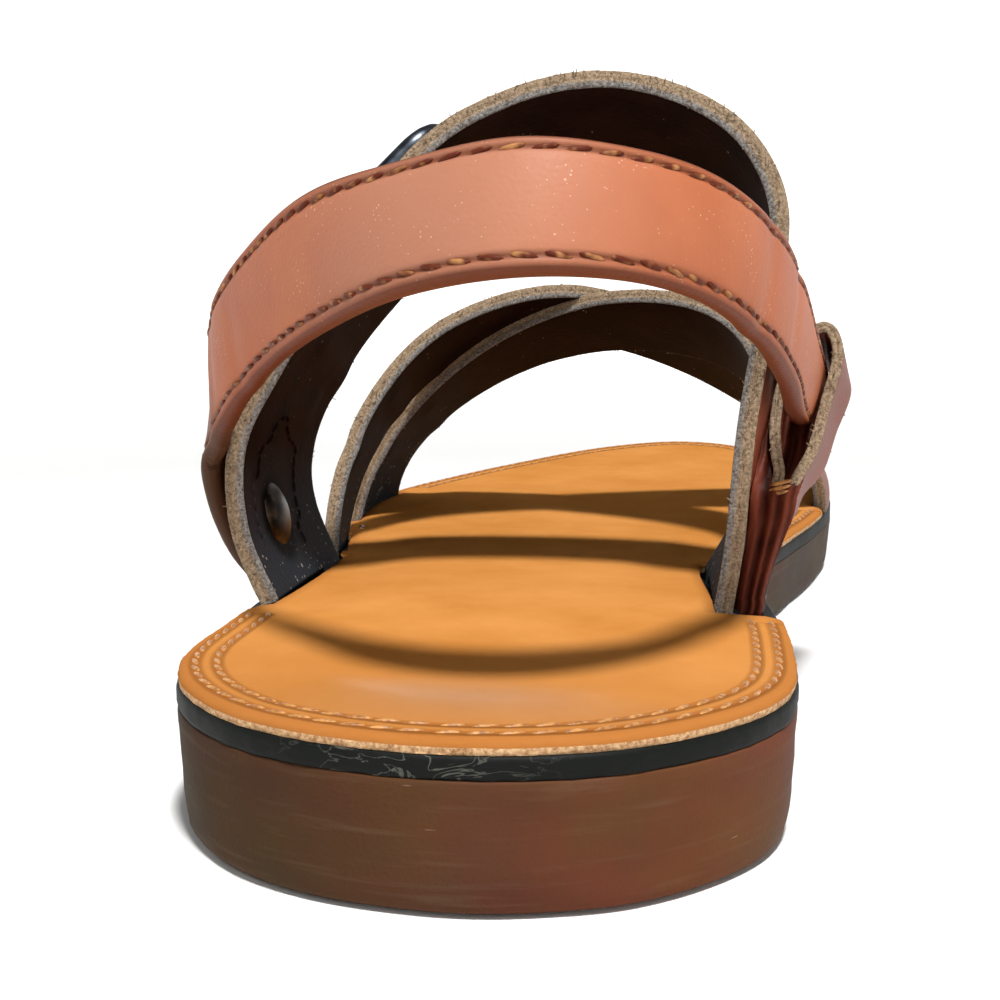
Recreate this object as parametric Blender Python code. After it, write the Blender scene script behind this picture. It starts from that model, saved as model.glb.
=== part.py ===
"""Left cross-strap leather sandal. Metres, floor at z = 0, toe along +Y, inner side of the foot along +X.

Every size below is in millimetres, with y counted from the back of the heel and x from the heel's middle.
"""

import math

import bpy
import numpy as np

for old in list(bpy.data.objects):
    bpy.data.objects.remove(old, do_unlink=True)

MM = 0.001
LENGTH = 264.0
MIDDLE = np.array([-5.87, 132.0, 0.0])
GAP = 0.3

# Sole layers, from the floor up
HEEL_THICKNESS = 13.8
BALL_THICKNESS = 9.8
TOE_SPRING = 3.6
SPRING_START = 188.0
MIDSOLE = 2.2
INSOLE = 1.5

# Leather
STRAP = 2.5
HEEL_STRAP = 2.8
LOOP = 1.5
EDGE_MARGIN = 0.4

# Sole outline, a row per cross-section: y, outer side, inner side
OUTLINE = [
    (0.0, 0.0, 0.0),
    (6.5, 21.8, 20.4),
    (25.0, 34.6, 33.2),
    (45.0, 36.2, 33.6),
    (70.0, 36.8, 31.0),
    (95.0, 40.0, 27.6),
    (120.0, 45.2, 27.6),
    (145.0, 49.8, 32.4),
    (170.0, 52.6, 37.8),
    (192.0, 50.0, 40.6),
    (214.0, 42.0, 40.2),
    (236.0, 29.6, 35.2),
    (252.0, 17.0, 27.0),
    (260.0, 6.6, 18.6),
    (264.0, -6.0, 6.0),
]

# Notches that let the straps down past the insole: side, from y, to y, depth there and there
NOTCHES = [
    (-1, 54.0, 100.0, 4.4, 6.2),
    (-1, 98.0, 132.0, 5.2, 3.6),
    (-1, 147.0, 187.0, 3.5, 3.5),
    (1, 60.0, 105.0, 10.0, 9.2),
    (1, 103.0, 134.0, 3.8, 3.5),
    (1, 181.0, 212.0, 3.5, 3.5),
]

# Instep strap, outer face, outer anchor to inner anchor: back edge x, y, z and front edge x, y, z
INSTEP = [
    (-35.1, 57.0, 15.9, -37.3, 93.0, 15.3),
    (-40.0, 58.0, 26.8, -41.8, 94.0, 26.0),
    (-40.6, 59.5, 38.3, -42.1, 95.5, 34.8),
    (-35.9, 61.5, 48.7, -38.6, 97.5, 44.3),
    (-27.3, 65.0, 63.3, -31.8, 100.5, 54.7),
    (-17.2, 69.0, 77.5, -22.4, 104.0, 64.2),
    (-6.1, 72.0, 84.4, -10.2, 106.5, 69.5),
    (6.0, 73.5, 86.9, 4.6, 107.5, 71.0),
    (17.5, 73.0, 84.7, 18.7, 107.0, 68.7),
    (26.8, 71.5, 78.5, 28.8, 105.5, 62.0),
    (31.5, 69.5, 68.3, 33.2, 103.5, 52.7),
    (30.0, 67.5, 55.0, 33.2, 101.5, 42.0),
    (28.0, 66.0, 40.8, 30.4, 100.5, 31.9),
    (26.9, 64.8, 26.4, 26.4, 101.5, 22.6),
    (25.4, 64.0, 15.7, 22.2, 102.5, 14.9),
]

# Space over the forefoot that the cross straps lie on: y, ridge x, ridge z, outer bulge, inner bulge
FOREFOOT = [
    (100.0, 2.0, 75.5, 2.0, 7.0),
    (125.0, 0.0, 63.4, -1.0, 7.0),
    (145.0, -3.0, 54.0, -2.4, 5.5),
    (168.0, -4.0, 45.0, -2.6, 3.5),
    (190.0, -4.0, 37.0, -1.0, 2.0),
    (212.0, -3.0, 31.0, 0.5, 1.0),
]

# Cross straps: share of the way from outer to inner side, back edge y, front edge y, lift
UNDER_STRAP = [
    (0.00, 150.0, 184.0, 0.0),
    (0.10, 150.0, 180.5, 0.0),
    (0.20, 150.6, 177.0, 0.0),
    (0.30, 150.0, 174.0, 0.0),
    (0.40, 148.0, 171.0, 0.0),
    (0.50, 144.0, 168.0, 0.0),
    (0.60, 137.5, 162.8, 0.0),
    (0.70, 129.5, 155.2, 0.0),
    (0.80, 121.5, 146.5, 0.0),
    (0.90, 113.0, 138.0, 0.0),
    (1.00, 106.0, 131.0, 0.0),
]
OVER_STRAP = [
    (0.00, 108.0, 128.0, 0.0),
    (0.09, 116.5, 136.5, 0.2),
    (0.18, 125.0, 144.5, 0.9),
    (0.27, 132.5, 152.0, 1.8),
    (0.36, 139.0, 159.5, 2.0),
    (0.50, 146.0, 170.5, 2.0),
    (0.60, 153.0, 180.0, 2.0),
    (0.70, 160.5, 189.0, 1.4),
    (0.80, 168.5, 197.0, 0.6),
    (0.90, 177.0, 204.0, 0.1),
    (1.00, 184.0, 209.0, 0.0),
]

# Heel strap, outer face, round the heel: lower edge x, y, z and upper edge x, y, z
HEEL = [
    (-42.6, 56.8, 38.0, -46.0, 66.5, 51.4),
    (-37.2, 48.5, 43.4, -40.4, 53.0, 57.4),
    (-28.2, 37.0, 49.6, -31.6, 39.5, 63.2),
    (-18.0, 23.0, 54.5, -19.6, 25.0, 69.2),
    (-6.0, 10.6, 59.0, -6.6, 15.6, 72.2),
    (6.0, 6.2, 61.1, 6.0, 12.0, 74.2),
    (17.0, 10.3, 60.7, 17.0, 15.2, 73.2),
    (25.2, 21.0, 57.8, 25.4, 22.5, 70.5),
    (30.4, 36.5, 52.9, 31.0, 38.0, 65.9),
    (33.2, 53.0, 47.4, 33.8, 55.0, 60.2),
]
# Its ends lie on the instep strap: lower edge y, z, upper edge y, z and height over that strap
HEEL_OUTER_END = [
    (66.5, 18.6, 77.0, 18.4, 3.3),
    (63.0, 23.0, 80.5, 23.0, 3.3),
    (60.5, 29.0, 81.0, 32.0, 3.6),
    (58.9, 36.0, 76.5, 42.5, 4.2),
]
HEEL_INNER_END = [
    (68.0, 42.5, 70.5, 53.4, 5.6),
    (82.0, 39.0, 85.5, 48.2, 5.6),
    (93.0, 35.6, 97.0, 43.6, 5.4),
]

# Loop round the inner end, middle of the leather: back edge y, z, drop to the front edge and height
LOOP_WIDTH = 18.0
LOOP_PATH = [
    (67.0, 16.6, 0.2, 3.0),
    (68.6, 21.0, 1.2, 3.1),
    (70.0, 25.5, 2.2, 3.8),
    (71.2, 29.5, 3.0, 5.0),
    (72.4, 33.4, 4.0, 5.4),
    (74.0, 37.5, 4.8, 6.7),
    (77.2, 43.5, 5.8, 7.2),
    (80.6, 50.0, 6.5, 7.0),
    (82.2, 53.4, 6.8, 4.6),
    (81.2, 51.2, 6.6, 1.9),
    (78.2, 46.0, 6.0, 1.2),
    (75.6, 41.0, 5.2, 1.2),
    (73.8, 37.2, 4.6, 2.1),
    (72.6, 34.2, 4.1, 3.2),
    (71.4, 30.5, 3.2, 2.9),
    (70.0, 25.5, 2.2, 1.9),
    (68.6, 21.0, 1.2, 1.2),
    (67.0, 16.6, 0.2, 1.1),
]

# Rivet through the instep strap and the heel strap's outer end: y and z there, leather between its caps
CAP_RADIUS = 4.7
SHANK_RADIUS = 1.7
HOLE_RADIUS = 2.1
RIVET_PLACE = (71.5, 26.5)
RIVET_GRIP = STRAP + 3.8

# Buckle on the outer shoulder of the instep strap
BUCKLE_ROW = 4.8
BUCKLE_ALONG = 22.0
BUCKLE_ACROSS = 30.0
BUCKLE_BAR = 3.0
BUCKLE_CORNER = 5.0
TAB_WIDTH = 16.0
TAB_START = -25.0
TAB_END = 2.0
TAB_THICKNESS = 1.6
TAB_RISE = 5.2


def curve_through(xs, ys):
    """A smooth function through a table's columns."""
    xs = np.asarray(xs, float)
    ys = np.asarray(ys, float)
    slopes = np.gradient(ys, xs)

    def value(at):
        at = np.clip(np.asarray(at, float), xs[0], xs[-1])
        i = np.clip(np.searchsorted(xs, at, side="right") - 1, 0, len(xs) - 2)
        span = xs[i + 1] - xs[i]
        t = (at - xs[i]) / span
        rise = ys[i + 1] - ys[i]
        bend = slopes[i] * span - rise
        unbend = rise - slopes[i + 1] * span
        return ys[i] + t * rise + t * (1 - t) * ((1 - t) * bend + t * unbend)

    return value


def smooth_rows(rows, steps):
    """More rows, along a smooth curve through the given ones."""
    rows = np.asarray(rows, float)
    at = np.linspace(0, len(rows) - 1, (len(rows) - 1) * steps + 1)
    columns = [curve_through(np.arange(len(rows)), column)(at) for column in rows.T]
    return np.stack(columns, axis=1)


def step(value, low, high):
    t = np.clip((np.asarray(value, float) - low) / (high - low), 0, 1)
    return t * t * (3 - 2 * t)


def add_solid(name, points, faces, colour, roughness, metallic=0.0):
    mesh = bpy.data.meshes.new(name)
    mesh.from_pydata([tuple((np.asarray(p) - MIDDLE) * MM) for p in points], [], faces)
    mesh.validate()
    obj = bpy.data.objects.new(name, mesh)
    bpy.context.scene.collection.objects.link(obj)
    material = bpy.data.materials.new(name)
    material.use_nodes = True
    shader = material.node_tree.nodes["Principled BSDF"]
    shader.inputs["Base Color"].default_value = (*colour, 1)
    shader.inputs["Roughness"].default_value = roughness
    shader.inputs["Metallic"].default_value = metallic
    mesh.materials.append(material)
    return obj


def add_helper(obj):
    obj.hide_render = True
    obj.display_type = "WIRE"


def boolean(obj, other, operation):
    modifier = obj.modifiers.new(other.name, "BOOLEAN")
    modifier.object = other
    modifier.operation = operation
    modifier.solver = "EXACT"


# Outline and heights of the sole
def station(y):
    return np.arccos(1 - 2 * np.asarray(y, float) / LENGTH) / math.pi


outline_rows = np.array(OUTLINE)
outer_side = curve_through(station(outline_rows[:, 0]), outline_rows[:, 1])
inner_side = curve_through(station(outline_rows[:, 0]), outline_rows[:, 2])


def outline_x(side, y):
    if side < 0:
        return -outer_side(station(y))
    return inner_side(station(y))


def floor_height(y):
    return TOE_SPRING * (np.clip(np.asarray(y, float) - SPRING_START, 0, None) / (LENGTH - SPRING_START)) ** 2


def outsole_top(y):
    thickness = HEEL_THICKNESS + (BALL_THICKNESS - HEEL_THICKNESS) * step(y, 60, 150)
    return floor_height(y) + thickness


def midsole_top(y):
    return outsole_top(y) + GAP + MIDSOLE


def outline_ring(count):
    """Points round the outline: heel, inner side, toe, outer side, with the side of each."""
    s = np.linspace(0, 1, count)
    y = LENGTH * (1 - np.cos(math.pi * s)) / 2
    inner = np.stack([inner_side(s), y], axis=1)
    outer = np.stack([-outer_side(s), y], axis=1)
    ring = np.concatenate([inner, outer[-2:0:-1]])
    sides = np.concatenate([np.ones(count), -np.ones(count - 2)])
    return ring, sides


def moved_in(ring, inset):
    ahead = np.roll(ring, -1, axis=0) - np.roll(ring, 1, axis=0)
    ahead /= np.linalg.norm(ahead, axis=1)[:, None]
    inward = np.stack([-ahead[:, 1], ahead[:, 0]], axis=1)
    return ring + inward * np.broadcast_to(inset, len(ring))[:, None]


def stacked(levels, count):
    """A solid of rings, one above the other, closed by strips from side to side."""
    size = 2 * count - 2
    points = np.concatenate(levels)
    faces = []
    for level in range(len(levels) - 1):
        low = level * size
        for i in range(size):
            j = (i + 1) % size
            faces.append((low + i, low + j, low + size + j, low + size + i))
    top = (len(levels) - 1) * size
    for i in range(count - 1):
        a = (i, i + 1, (size - i - 1) % size, (size - i) % size)
        strip = list(dict.fromkeys(a))
        faces.append(tuple(top + k for k in strip))
        faces.append(tuple(reversed(strip)))
    return points, faces


def sole_level(ring, inset, height):
    flat = moved_in(ring, inset)
    return np.column_stack([flat, height])


# Outsole: unit sole, sides drawn in towards the floor, lower edge rounded
COUNT = 60
ring, sides = outline_ring(COUNT)
along = ring[:, 1]
bottom = floor_height(along)
depth = outsole_top(along) - bottom
SIDE_PROFILE = [(3.0, 0.0), (1.4, 0.04), (0.6, 0.2), (0.1, 0.9), (0.0, 0.96), (0.3, 1.0)]
levels = [sole_level(ring, inset, bottom + share * depth) for inset, share in SIDE_PROFILE]
add_solid("outsole", *stacked(levels, COUNT), (0.16, 0.10, 0.07), 0.7)

# Midsole: thin black layer on the outsole
low = outsole_top(along) + GAP
MIDSOLE_PROFILE = [(0.4, 0.0), (0.0, 0.2), (0.0, 0.8), (0.4, 1.0)]
levels = [sole_level(ring, inset, low + share * MIDSOLE) for inset, share in MIDSOLE_PROFILE]
add_solid("midsole", *stacked(levels, COUNT), (0.01, 0.01, 0.01), 0.6)

# Insole: leather top sole, notched at the straps
COUNT = 104
ring, sides = outline_ring(COUNT)
along = ring[:, 1]
inset = np.full(len(ring), 0.2)
for side, start, end, first, last in NOTCHES:
    inside = step(along, start - 2.5, start + 1) * (1 - step(along, end - 1, end + 2.5))
    reach = first + (last - first) * np.clip((along - start) / (end - start), 0, 1)
    inset = np.maximum(inset, np.where(sides == side, reach * inside, 0))
low = midsole_top(along) + GAP
INSOLE_PROFILE = [(0.0, 0.0), (0.0, 0.7), (0.4, 1.0)]
levels = [sole_level(ring, inset + more, low + share * INSOLE) for more, share in INSOLE_PROFILE]
add_solid("insole", *stacked(levels, COUNT), (0.62, 0.33, 0.10), 0.55)


# Straps
def normals_of(grid):
    """Unit normals of a grid of points, on the side away from the foot for rows that run outer to inner."""
    down = np.gradient(grid, axis=0)
    across = np.gradient(grid, axis=1)
    normal = np.cross(down, across)
    return normal / np.linalg.norm(normal, axis=2)[:, :, None]


def strap_normals(grid):
    """Normals for a strap whose two ends stand upright on the sole."""
    normal = normals_of(grid)
    normal[[0, -1], :, 2] = 0
    return normal / np.linalg.norm(normal, axis=2)[:, :, None]


def stand_on_midsole(grid):
    for end in (0, -1):
        grid[end, :, 2] = midsole_top(grid[end, :, 1]) + GAP


def strap_solid(outer, inner):
    """A closed strap between the grids of its two faces."""
    rows, columns = outer.shape[:2]
    points = np.concatenate([outer.reshape(-1, 3), inner.reshape(-1, 3)])
    under = rows * columns

    def at(r, c):
        return r * columns + c

    faces = []
    for r in range(rows - 1):
        for c in range(columns - 1):
            a, b, d, e = at(r, c), at(r, c + 1), at(r + 1, c + 1), at(r + 1, c)
            faces.append((a, e, d, b))
            faces.append((under + a, under + b, under + d, under + e))
    rim = [at(r, 0) for r in range(rows)]
    rim += [at(rows - 1, c) for c in range(1, columns)]
    rim += [at(r, columns - 1) for r in range(rows - 2, -1, -1)]
    rim += [at(0, c) for c in range(columns - 2, 0, -1)]
    for a, b in zip(rim, rim[1:] + rim[:1]):
        faces.append((b, a, under + a, under + b))
    return points, faces


def between_edges(rows, columns):
    """A grid across each row, from its first edge to its second."""
    rows = np.asarray(rows, float)
    share = np.linspace(0, 1, columns)[None, :, None]
    return rows[:, None, :3] * (1 - share) + rows[:, None, 3:6] * share


# Instep strap: one wide two-layer strap over the instep
instep_outer = between_edges(smooth_rows(INSTEP, 4), 7)
stand_on_midsole(instep_outer)
instep_normal = strap_normals(instep_outer)
instep_inner = instep_outer - STRAP * instep_normal
instep_strap = add_solid("instep_strap", *strap_solid(instep_outer, instep_inner), (0.30, 0.11, 0.05), 0.55)

FINE = 16
fine_outer = between_edges(smooth_rows(INSTEP, FINE), 25)
fine_normal = normals_of(fine_outer)


def on_instep(side, y, z):
    """The place on the instep strap's outer face nearest to this y and z, and the normal there."""
    half = len(fine_outer) // 2
    chosen = slice(0, half) if side < 0 else slice(half, None)
    places = fine_outer[chosen].reshape(-1, 3)
    normals = fine_normal[chosen].reshape(-1, 3)
    k = np.hypot(places[:, 1] - y, places[:, 2] - z).argmin()
    return places[k], normals[k]


def over_instep(side, y, z, height):
    """A place at this y and z, moved outward until it stands so far off the instep strap."""
    place, normal = on_instep(side, y, z)
    return np.array([place[0] + side * height / max(abs(normal[0]), 0.5), y, z])


# Cross straps: two straps on the space over the forefoot, joined where they cross
forefoot = np.array(FOREFOOT)
ridge_x, ridge_z, outer_bulge, inner_bulge = [curve_through(forefoot[:, 0], c) for c in forefoot[:, 1:].T]


def forefoot_place(share, y):
    angle = math.pi * share
    low = midsole_top(y) + GAP
    side = -1 if share < 0.5 else 1
    edge = outline_x(side, y) - side * (EDGE_MARGIN + STRAP)
    bulge = outer_bulge(y) if side < 0 else inner_bulge(y)
    x = ridge_x(y) + (edge - ridge_x(y)) * abs(math.cos(angle)) ** 1.05 - bulge * math.sin(2 * angle)
    z = low + (ridge_z(y) - low) * max(math.sin(angle), 0) ** 1.05
    return (float(x), float(y), float(z))


def cross_strap(name, table):
    rows = smooth_rows(table, 4)
    columns = 7
    inner = np.empty((len(rows), columns, 3))
    for r, (share, back, front, lift) in enumerate(rows):
        for c in range(columns):
            inner[r, c] = forefoot_place(share, back + (front - back) * c / (columns - 1))
    normal = strap_normals(inner)
    inner = inner + rows[:, 3][:, None, None] * normal
    return add_solid(name, *strap_solid(inner + STRAP * normal, inner), (0.30, 0.11, 0.05), 0.55)


cross_straps = cross_strap("cross_straps", UNDER_STRAP)
over_strap = cross_strap("over_strap", OVER_STRAP)
add_helper(over_strap)
boolean(cross_straps, over_strap, "UNION")


# Heel strap: stitched double strap, riveted on the outer side and threaded through the loop on the inner side
def end_row(side, low_y, low_z, high_y, high_z, height):
    return (*over_instep(side, low_y, low_z, height), *over_instep(side, high_y, high_z, height))


heel_rows = [end_row(-1, *row) for row in HEEL_OUTER_END]
heel_rows += HEEL
heel_rows += [end_row(1, *row) for row in HEEL_INNER_END]
heel_outer = between_edges(smooth_rows(heel_rows, 3), 6)
heel_inner = heel_outer - HEEL_STRAP * normals_of(heel_outer)
heel_strap = add_solid("heel_strap", *strap_solid(heel_outer, heel_inner), (0.42, 0.16, 0.07), 0.5)

# Loop: one strip from the sole up, over the heel strap and down again
loop_rows = []
for y, z, drop, height in LOOP_PATH:
    back = over_instep(1, y, z, height)
    front = over_instep(1, y + LOOP_WIDTH, z - drop, height)
    loop_rows.append((*back, *front))
loop_middle = between_edges(smooth_rows(loop_rows, 3), 5)
stand_on_midsole(loop_middle)
loop_normal = strap_normals(loop_middle)
loop_faces = (loop_middle + LOOP / 2 * loop_normal, loop_middle - LOOP / 2 * loop_normal)
heel_strap_loop = add_solid("heel_strap_loop", *strap_solid(*loop_faces), (0.33, 0.12, 0.06), 0.45)


# Rivet
def turned(profile, place, axis, count=18):
    """A solid turned round an axis, from rows of distance along it and radius."""
    axis = axis / np.linalg.norm(axis)
    first = np.cross(axis, (0, 0, 1))
    first /= np.linalg.norm(first)
    second = np.cross(axis, first)
    points = []
    for far, radius in profile:
        for k in range(count):
            angle = 2 * math.pi * k / count
            points.append(place + axis * far + radius * (first * math.cos(angle) + second * math.sin(angle)))
    faces = []
    for level in range(len(profile) - 1):
        for k in range(count):
            a = level * count + k
            b = level * count + (k + 1) % count
            faces.append((a, b, b + count, a + count))
    faces.append(tuple(reversed(range(count))))
    faces.append(tuple(range((len(profile) - 1) * count, len(profile) * count)))
    return points, faces


rivet_place, rivet_axis = on_instep(-1, *RIVET_PLACE)
inside = -STRAP - 0.7
outside = RIVET_GRIP - STRAP + 0.5
DOME = [(1.3, 1.8), (1.05, 3.2), (0.55, 4.3), (0.0, CAP_RADIUS)]
profile = [(inside - rise, radius) for rise, radius in DOME]
profile += [(inside + 0.05, SHANK_RADIUS), (outside - 0.05, SHANK_RADIUS)]
profile += [(outside + rise, radius) for rise, radius in reversed(DOME)]
add_solid("strap_rivet", *turned(profile, rivet_place, rivet_axis), (0.09, 0.085, 0.08), 0.35, 1.0)
hole = [(-9.0, HOLE_RADIUS), (14.0, HOLE_RADIUS)]
rivet_hole = add_solid("rivet_hole", *turned(hole, rivet_place, rivet_axis), (0, 0, 0), 1)
add_helper(rivet_hole)
boolean(instep_strap, rivet_hole, "DIFFERENCE")
boolean(heel_strap, rivet_hole, "DIFFERENCE")


# Buckle: flat rounded frame on the instep strap's outer shoulder, held by a leather tab over its lower bar
middle_line = fine_outer[:, fine_outer.shape[1] // 2]
travelled = np.concatenate([[0], np.cumsum(np.linalg.norm(np.diff(middle_line, axis=0), axis=1))])
buckle_start = np.interp(BUCKLE_ROW * FINE, np.arange(len(travelled)), travelled)


def beside_buckle(along, across):
    """The place on the instep strap so far along it and across it from the buckle's middle, and the normal there."""
    row = np.interp(buckle_start + along, travelled, np.arange(len(travelled)))
    r = min(int(row), len(travelled) - 2)
    edge = fine_outer[r] + (fine_outer[r + 1] - fine_outer[r]) * (row - r)
    width = np.linalg.norm(edge[-1] - edge[0])
    share = 0.5 + across / width
    place = edge[0] + (edge[-1] - edge[0]) * share
    column = int(round(share * (fine_outer.shape[1] - 1)))
    return place, fine_normal[r, column]


def rounded_path(along, across, corner, steps=5):
    """Corners of a flat rounded rectangle, as a closed path."""
    path = []
    for k, (u, v) in enumerate([(1, 1), (-1, 1), (-1, -1), (1, -1)]):
        for i in range(steps + 1):
            angle = math.pi / 2 * (k + i / steps)
            path.append((u * (along / 2 - corner) + corner * math.cos(angle),
                         v * (across / 2 - corner) + corner * math.sin(angle)))
    return np.array(path)


buckle_place, buckle_normal = beside_buckle(0, 0)
ahead = beside_buckle(4, 0)[0] - beside_buckle(-4, 0)[0]
ahead -= buckle_normal * (ahead @ buckle_normal)
ahead /= np.linalg.norm(ahead)
aside = np.cross(buckle_normal, ahead)
path = rounded_path(BUCKLE_ALONG - BUCKLE_BAR, BUCKLE_ACROSS - BUCKLE_BAR, BUCKLE_CORNER)
SECTION = 10
points = []
for k, (u, v) in enumerate(path):
    onward = path[(k + 1) % len(path)] - path[k - 1]
    outward = np.array([onward[1], -onward[0]]) / np.linalg.norm(onward)
    centre = buckle_place + buckle_normal * (GAP + BUCKLE_BAR / 2 + 0.1) + ahead * u + aside * v
    out = ahead * outward[0] + aside * outward[1]
    for i in range(SECTION):
        angle = 2 * math.pi * i / SECTION
        points.append(centre + BUCKLE_BAR / 2 * (out * math.cos(angle) + buckle_normal * math.sin(angle)))
faces = []
for k in range(len(path)):
    for i in range(SECTION):
        j = (i + 1) % SECTION
        m = (k + 1) % len(path)
        faces.append((k * SECTION + i, m * SECTION + i, m * SECTION + j, k * SECTION + j))
add_solid("buckle_frame", points, faces, (0.06, 0.06, 0.065), 0.35, 1.0)

tab = np.empty((28, 5, 3))
bar_at = -(BUCKLE_ALONG - BUCKLE_BAR) / 2
for r, along in enumerate(np.linspace(TAB_START, TAB_END, 28)):
    rise = step(along, bar_at - 7, bar_at - 2.2) * (1 - step(along, bar_at + 2.2, bar_at + 7))
    for c, across in enumerate(np.linspace(-TAB_WIDTH / 2, TAB_WIDTH / 2, 5)):
        place, normal = beside_buckle(along, across)
        tab[r, c] = place + normal * (GAP + 0.1 + TAB_RISE * rise)
tab_normal = normals_of(tab)
add_solid("buckle_tab", *strap_solid(tab + TAB_THICKNESS * tab_normal, tab), (0.28, 0.10, 0.05), 0.5)
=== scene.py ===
"""Left cross-strap leather sandal, dressed over its solids, in the order in which it is put together.

Tables are in millimetres, with y from the back of the heel and x from the heel's middle, + to the inner side.
"""

import math

import bpy
import numpy as np
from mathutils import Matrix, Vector, kdtree, noise


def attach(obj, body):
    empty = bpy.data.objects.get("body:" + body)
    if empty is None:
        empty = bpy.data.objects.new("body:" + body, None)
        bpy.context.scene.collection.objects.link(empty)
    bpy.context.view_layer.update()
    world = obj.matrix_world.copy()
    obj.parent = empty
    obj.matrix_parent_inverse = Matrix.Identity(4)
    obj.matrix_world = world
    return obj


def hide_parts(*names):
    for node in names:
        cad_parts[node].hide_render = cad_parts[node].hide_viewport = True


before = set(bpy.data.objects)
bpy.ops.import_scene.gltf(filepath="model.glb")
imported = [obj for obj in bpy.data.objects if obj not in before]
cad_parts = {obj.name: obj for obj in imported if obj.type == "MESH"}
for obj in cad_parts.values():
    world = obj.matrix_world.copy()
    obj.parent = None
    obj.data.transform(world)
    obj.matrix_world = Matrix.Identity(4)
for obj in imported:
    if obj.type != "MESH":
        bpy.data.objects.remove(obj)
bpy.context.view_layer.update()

# Camera: behind the heel, just over the height of the straps, as the photograph was taken.
# It looks a little towards the outer side, which puts this one shoe in the middle of the frame.
camera_data = bpy.data.cameras.new("camera")
camera_data.sensor_width = 36.0
camera_data.lens = 57.6
camera_data.clip_start = 0.01
camera = bpy.data.objects.new("camera", camera_data)
camera.location = (0.03843, -0.2723, 0.0616)
camera.rotation_euler = (math.radians(90 - 8.35), 0, math.radians(10.4))
bpy.context.scene.collection.objects.link(camera)
bpy.context.scene.camera = camera


# Floor and light: a pale round sweep of paper that glows far off, one softened lamp high behind the heel, two weak
# fills and dim white surroundings. The key leans 24 degrees, which lays the straps' shadows on the insole.
def linear(code):
    """An sRGB hex colour as linear red, green, blue and alpha."""
    parts = [int(code[i:i + 2], 16) / 255 for i in (1, 3, 5)]
    return (*(v / 12.92 if v <= 0.04045 else ((v + 0.055) / 1.055) ** 2.4 for v in parts), 1.0)


def plug(tree, taker, **sockets):
    """Fills a node's sockets; each, by name or by i and number, takes a value or another node's output."""
    for name, value in sockets.items():
        socket = taker.inputs[int(name[1:])] if name[1:].isdigit() else taker.inputs[name.replace("_", " ")]
        if isinstance(value, bpy.types.NodeSocket):
            tree.links.new(value, socket)
        else:
            socket.default_value = value


def node(tree, kind, settings=None, **sockets):
    """Adds a node with its settings and filled sockets."""
    made = tree.nodes.new(kind)
    for name, value in (settings or {}).items():
        setattr(made, name, value)
    plug(tree, made, **sockets)
    return made


def ramp(tree, value, low=0.0, high=1.0, first=0.0, last=1.0, shape="LINEAR"):
    """A value that goes from first, where the given one is low, to last, where it is high."""
    made = node(tree, "ShaderNodeMapRange", {"interpolation_type": shape}, Value=value, From_Min=low,
                From_Max=high, To_Min=first, To_Max=last)
    return made.outputs["Result"]


def blend(tree, share, ground, over, how="MIX"):
    """A colour that goes from ground to over as the share grows; each is an output or a hex code."""
    ground, over = [linear(c) if isinstance(c, str) else c for c in (ground, over)]
    settings = {"data_type": "RGBA", "blend_type": how}
    return node(tree, "ShaderNodeMix", settings, i0=share, i6=ground, i7=over).outputs[2]


def maths(tree, operation, *values):
    """The result of one operation on these values."""
    sockets = {f"i{k}": value for k, value in enumerate(values)}
    return node(tree, "ShaderNodeMath", {"operation": operation}, **sockets).outputs["Value"]


def far_from(tree, spot, place):
    """Distance from a place, in metres."""
    return node(tree, "ShaderNodeVectorMath", {"operation": "DISTANCE"}, i0=spot, i1=place).outputs["Value"]


def soft_noise(tree, spot, scale, **more):
    """Soft clouds from 0 to 1."""
    return node(tree, "ShaderNodeTexNoise", Vector=spot, Scale=scale, **more).outputs["Fac"]


def cells(tree, spot, scale, feature="F1"):
    """Distance from the middle of the nearest of many small cells."""
    made = node(tree, "ShaderNodeTexVoronoi", {"feature": feature}, Vector=spot, Scale=scale)
    return made.outputs["Distance"]


def mark(tree, name):
    """The value that a mesh keeps at each point under this name."""
    return node(tree, "ShaderNodeAttribute", {"attribute_name": name}).outputs["Fac"]


def bumps(tree, height, strength, distance, under=None):
    """Normals of a bumpy surface, over another bumpy one if given."""
    below = {} if under is None else {"Normal": under}
    made = node(tree, "ShaderNodeBump", Height=height, Strength=strength, Distance=distance, **below)
    return made.outputs["Normal"]


def new_material(name):
    """An empty material with its node tree, its shader and the place on the object in metres."""
    material = bpy.data.materials.new(name)
    material.use_nodes = True
    tree = material.node_tree
    return material, tree, tree.nodes["Principled BSDF"], node(tree, "ShaderNodeTexCoord").outputs["Object"]


# Paper: matt white; it glows more and more up to 0.9 m from the shoe, most in front of the toe.
paper, tree, shader, spot = new_material("matt white paper")
apart = node(tree, "ShaderNodeSeparateXYZ", Vector=spot)
from_shoe = node(tree, "ShaderNodeVectorMath", {"operation": "LENGTH"}, i0=spot).outputs["Value"]
far = ramp(tree, from_shoe, 0.25, 0.9, last=0.9)
low = ramp(tree, apart.outputs["Z"], 0.9, 1.3, 1.0, 0.0)
ahead = ramp(tree, apart.outputs["Y"], -0.2, 0.4, 0.4)
lit = maths(tree, "MULTIPLY", far, ahead)
glow = maths(tree, "MULTIPLY", lit, low)
plug(tree, shader, Emission_Strength=glow, Emission_Color=(1.0, 1.0, 1.0, 1.0), Base_Color=linear("#e9e9e8"),
     Roughness=0.9)


def ring_faces(count, size, turned_over=False):
    """Faces between closed rings of so many points that follow one another."""
    faces = []
    for low in range(0, (count - 1) * size, size):
        for i in range(size):
            j = (i + 1) % size
            a, b, c, d = low + i, low + j, low + size + j, low + size + i
            faces.append((a, d, c, b) if turned_over else (a, b, c, d))
    return faces


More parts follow.
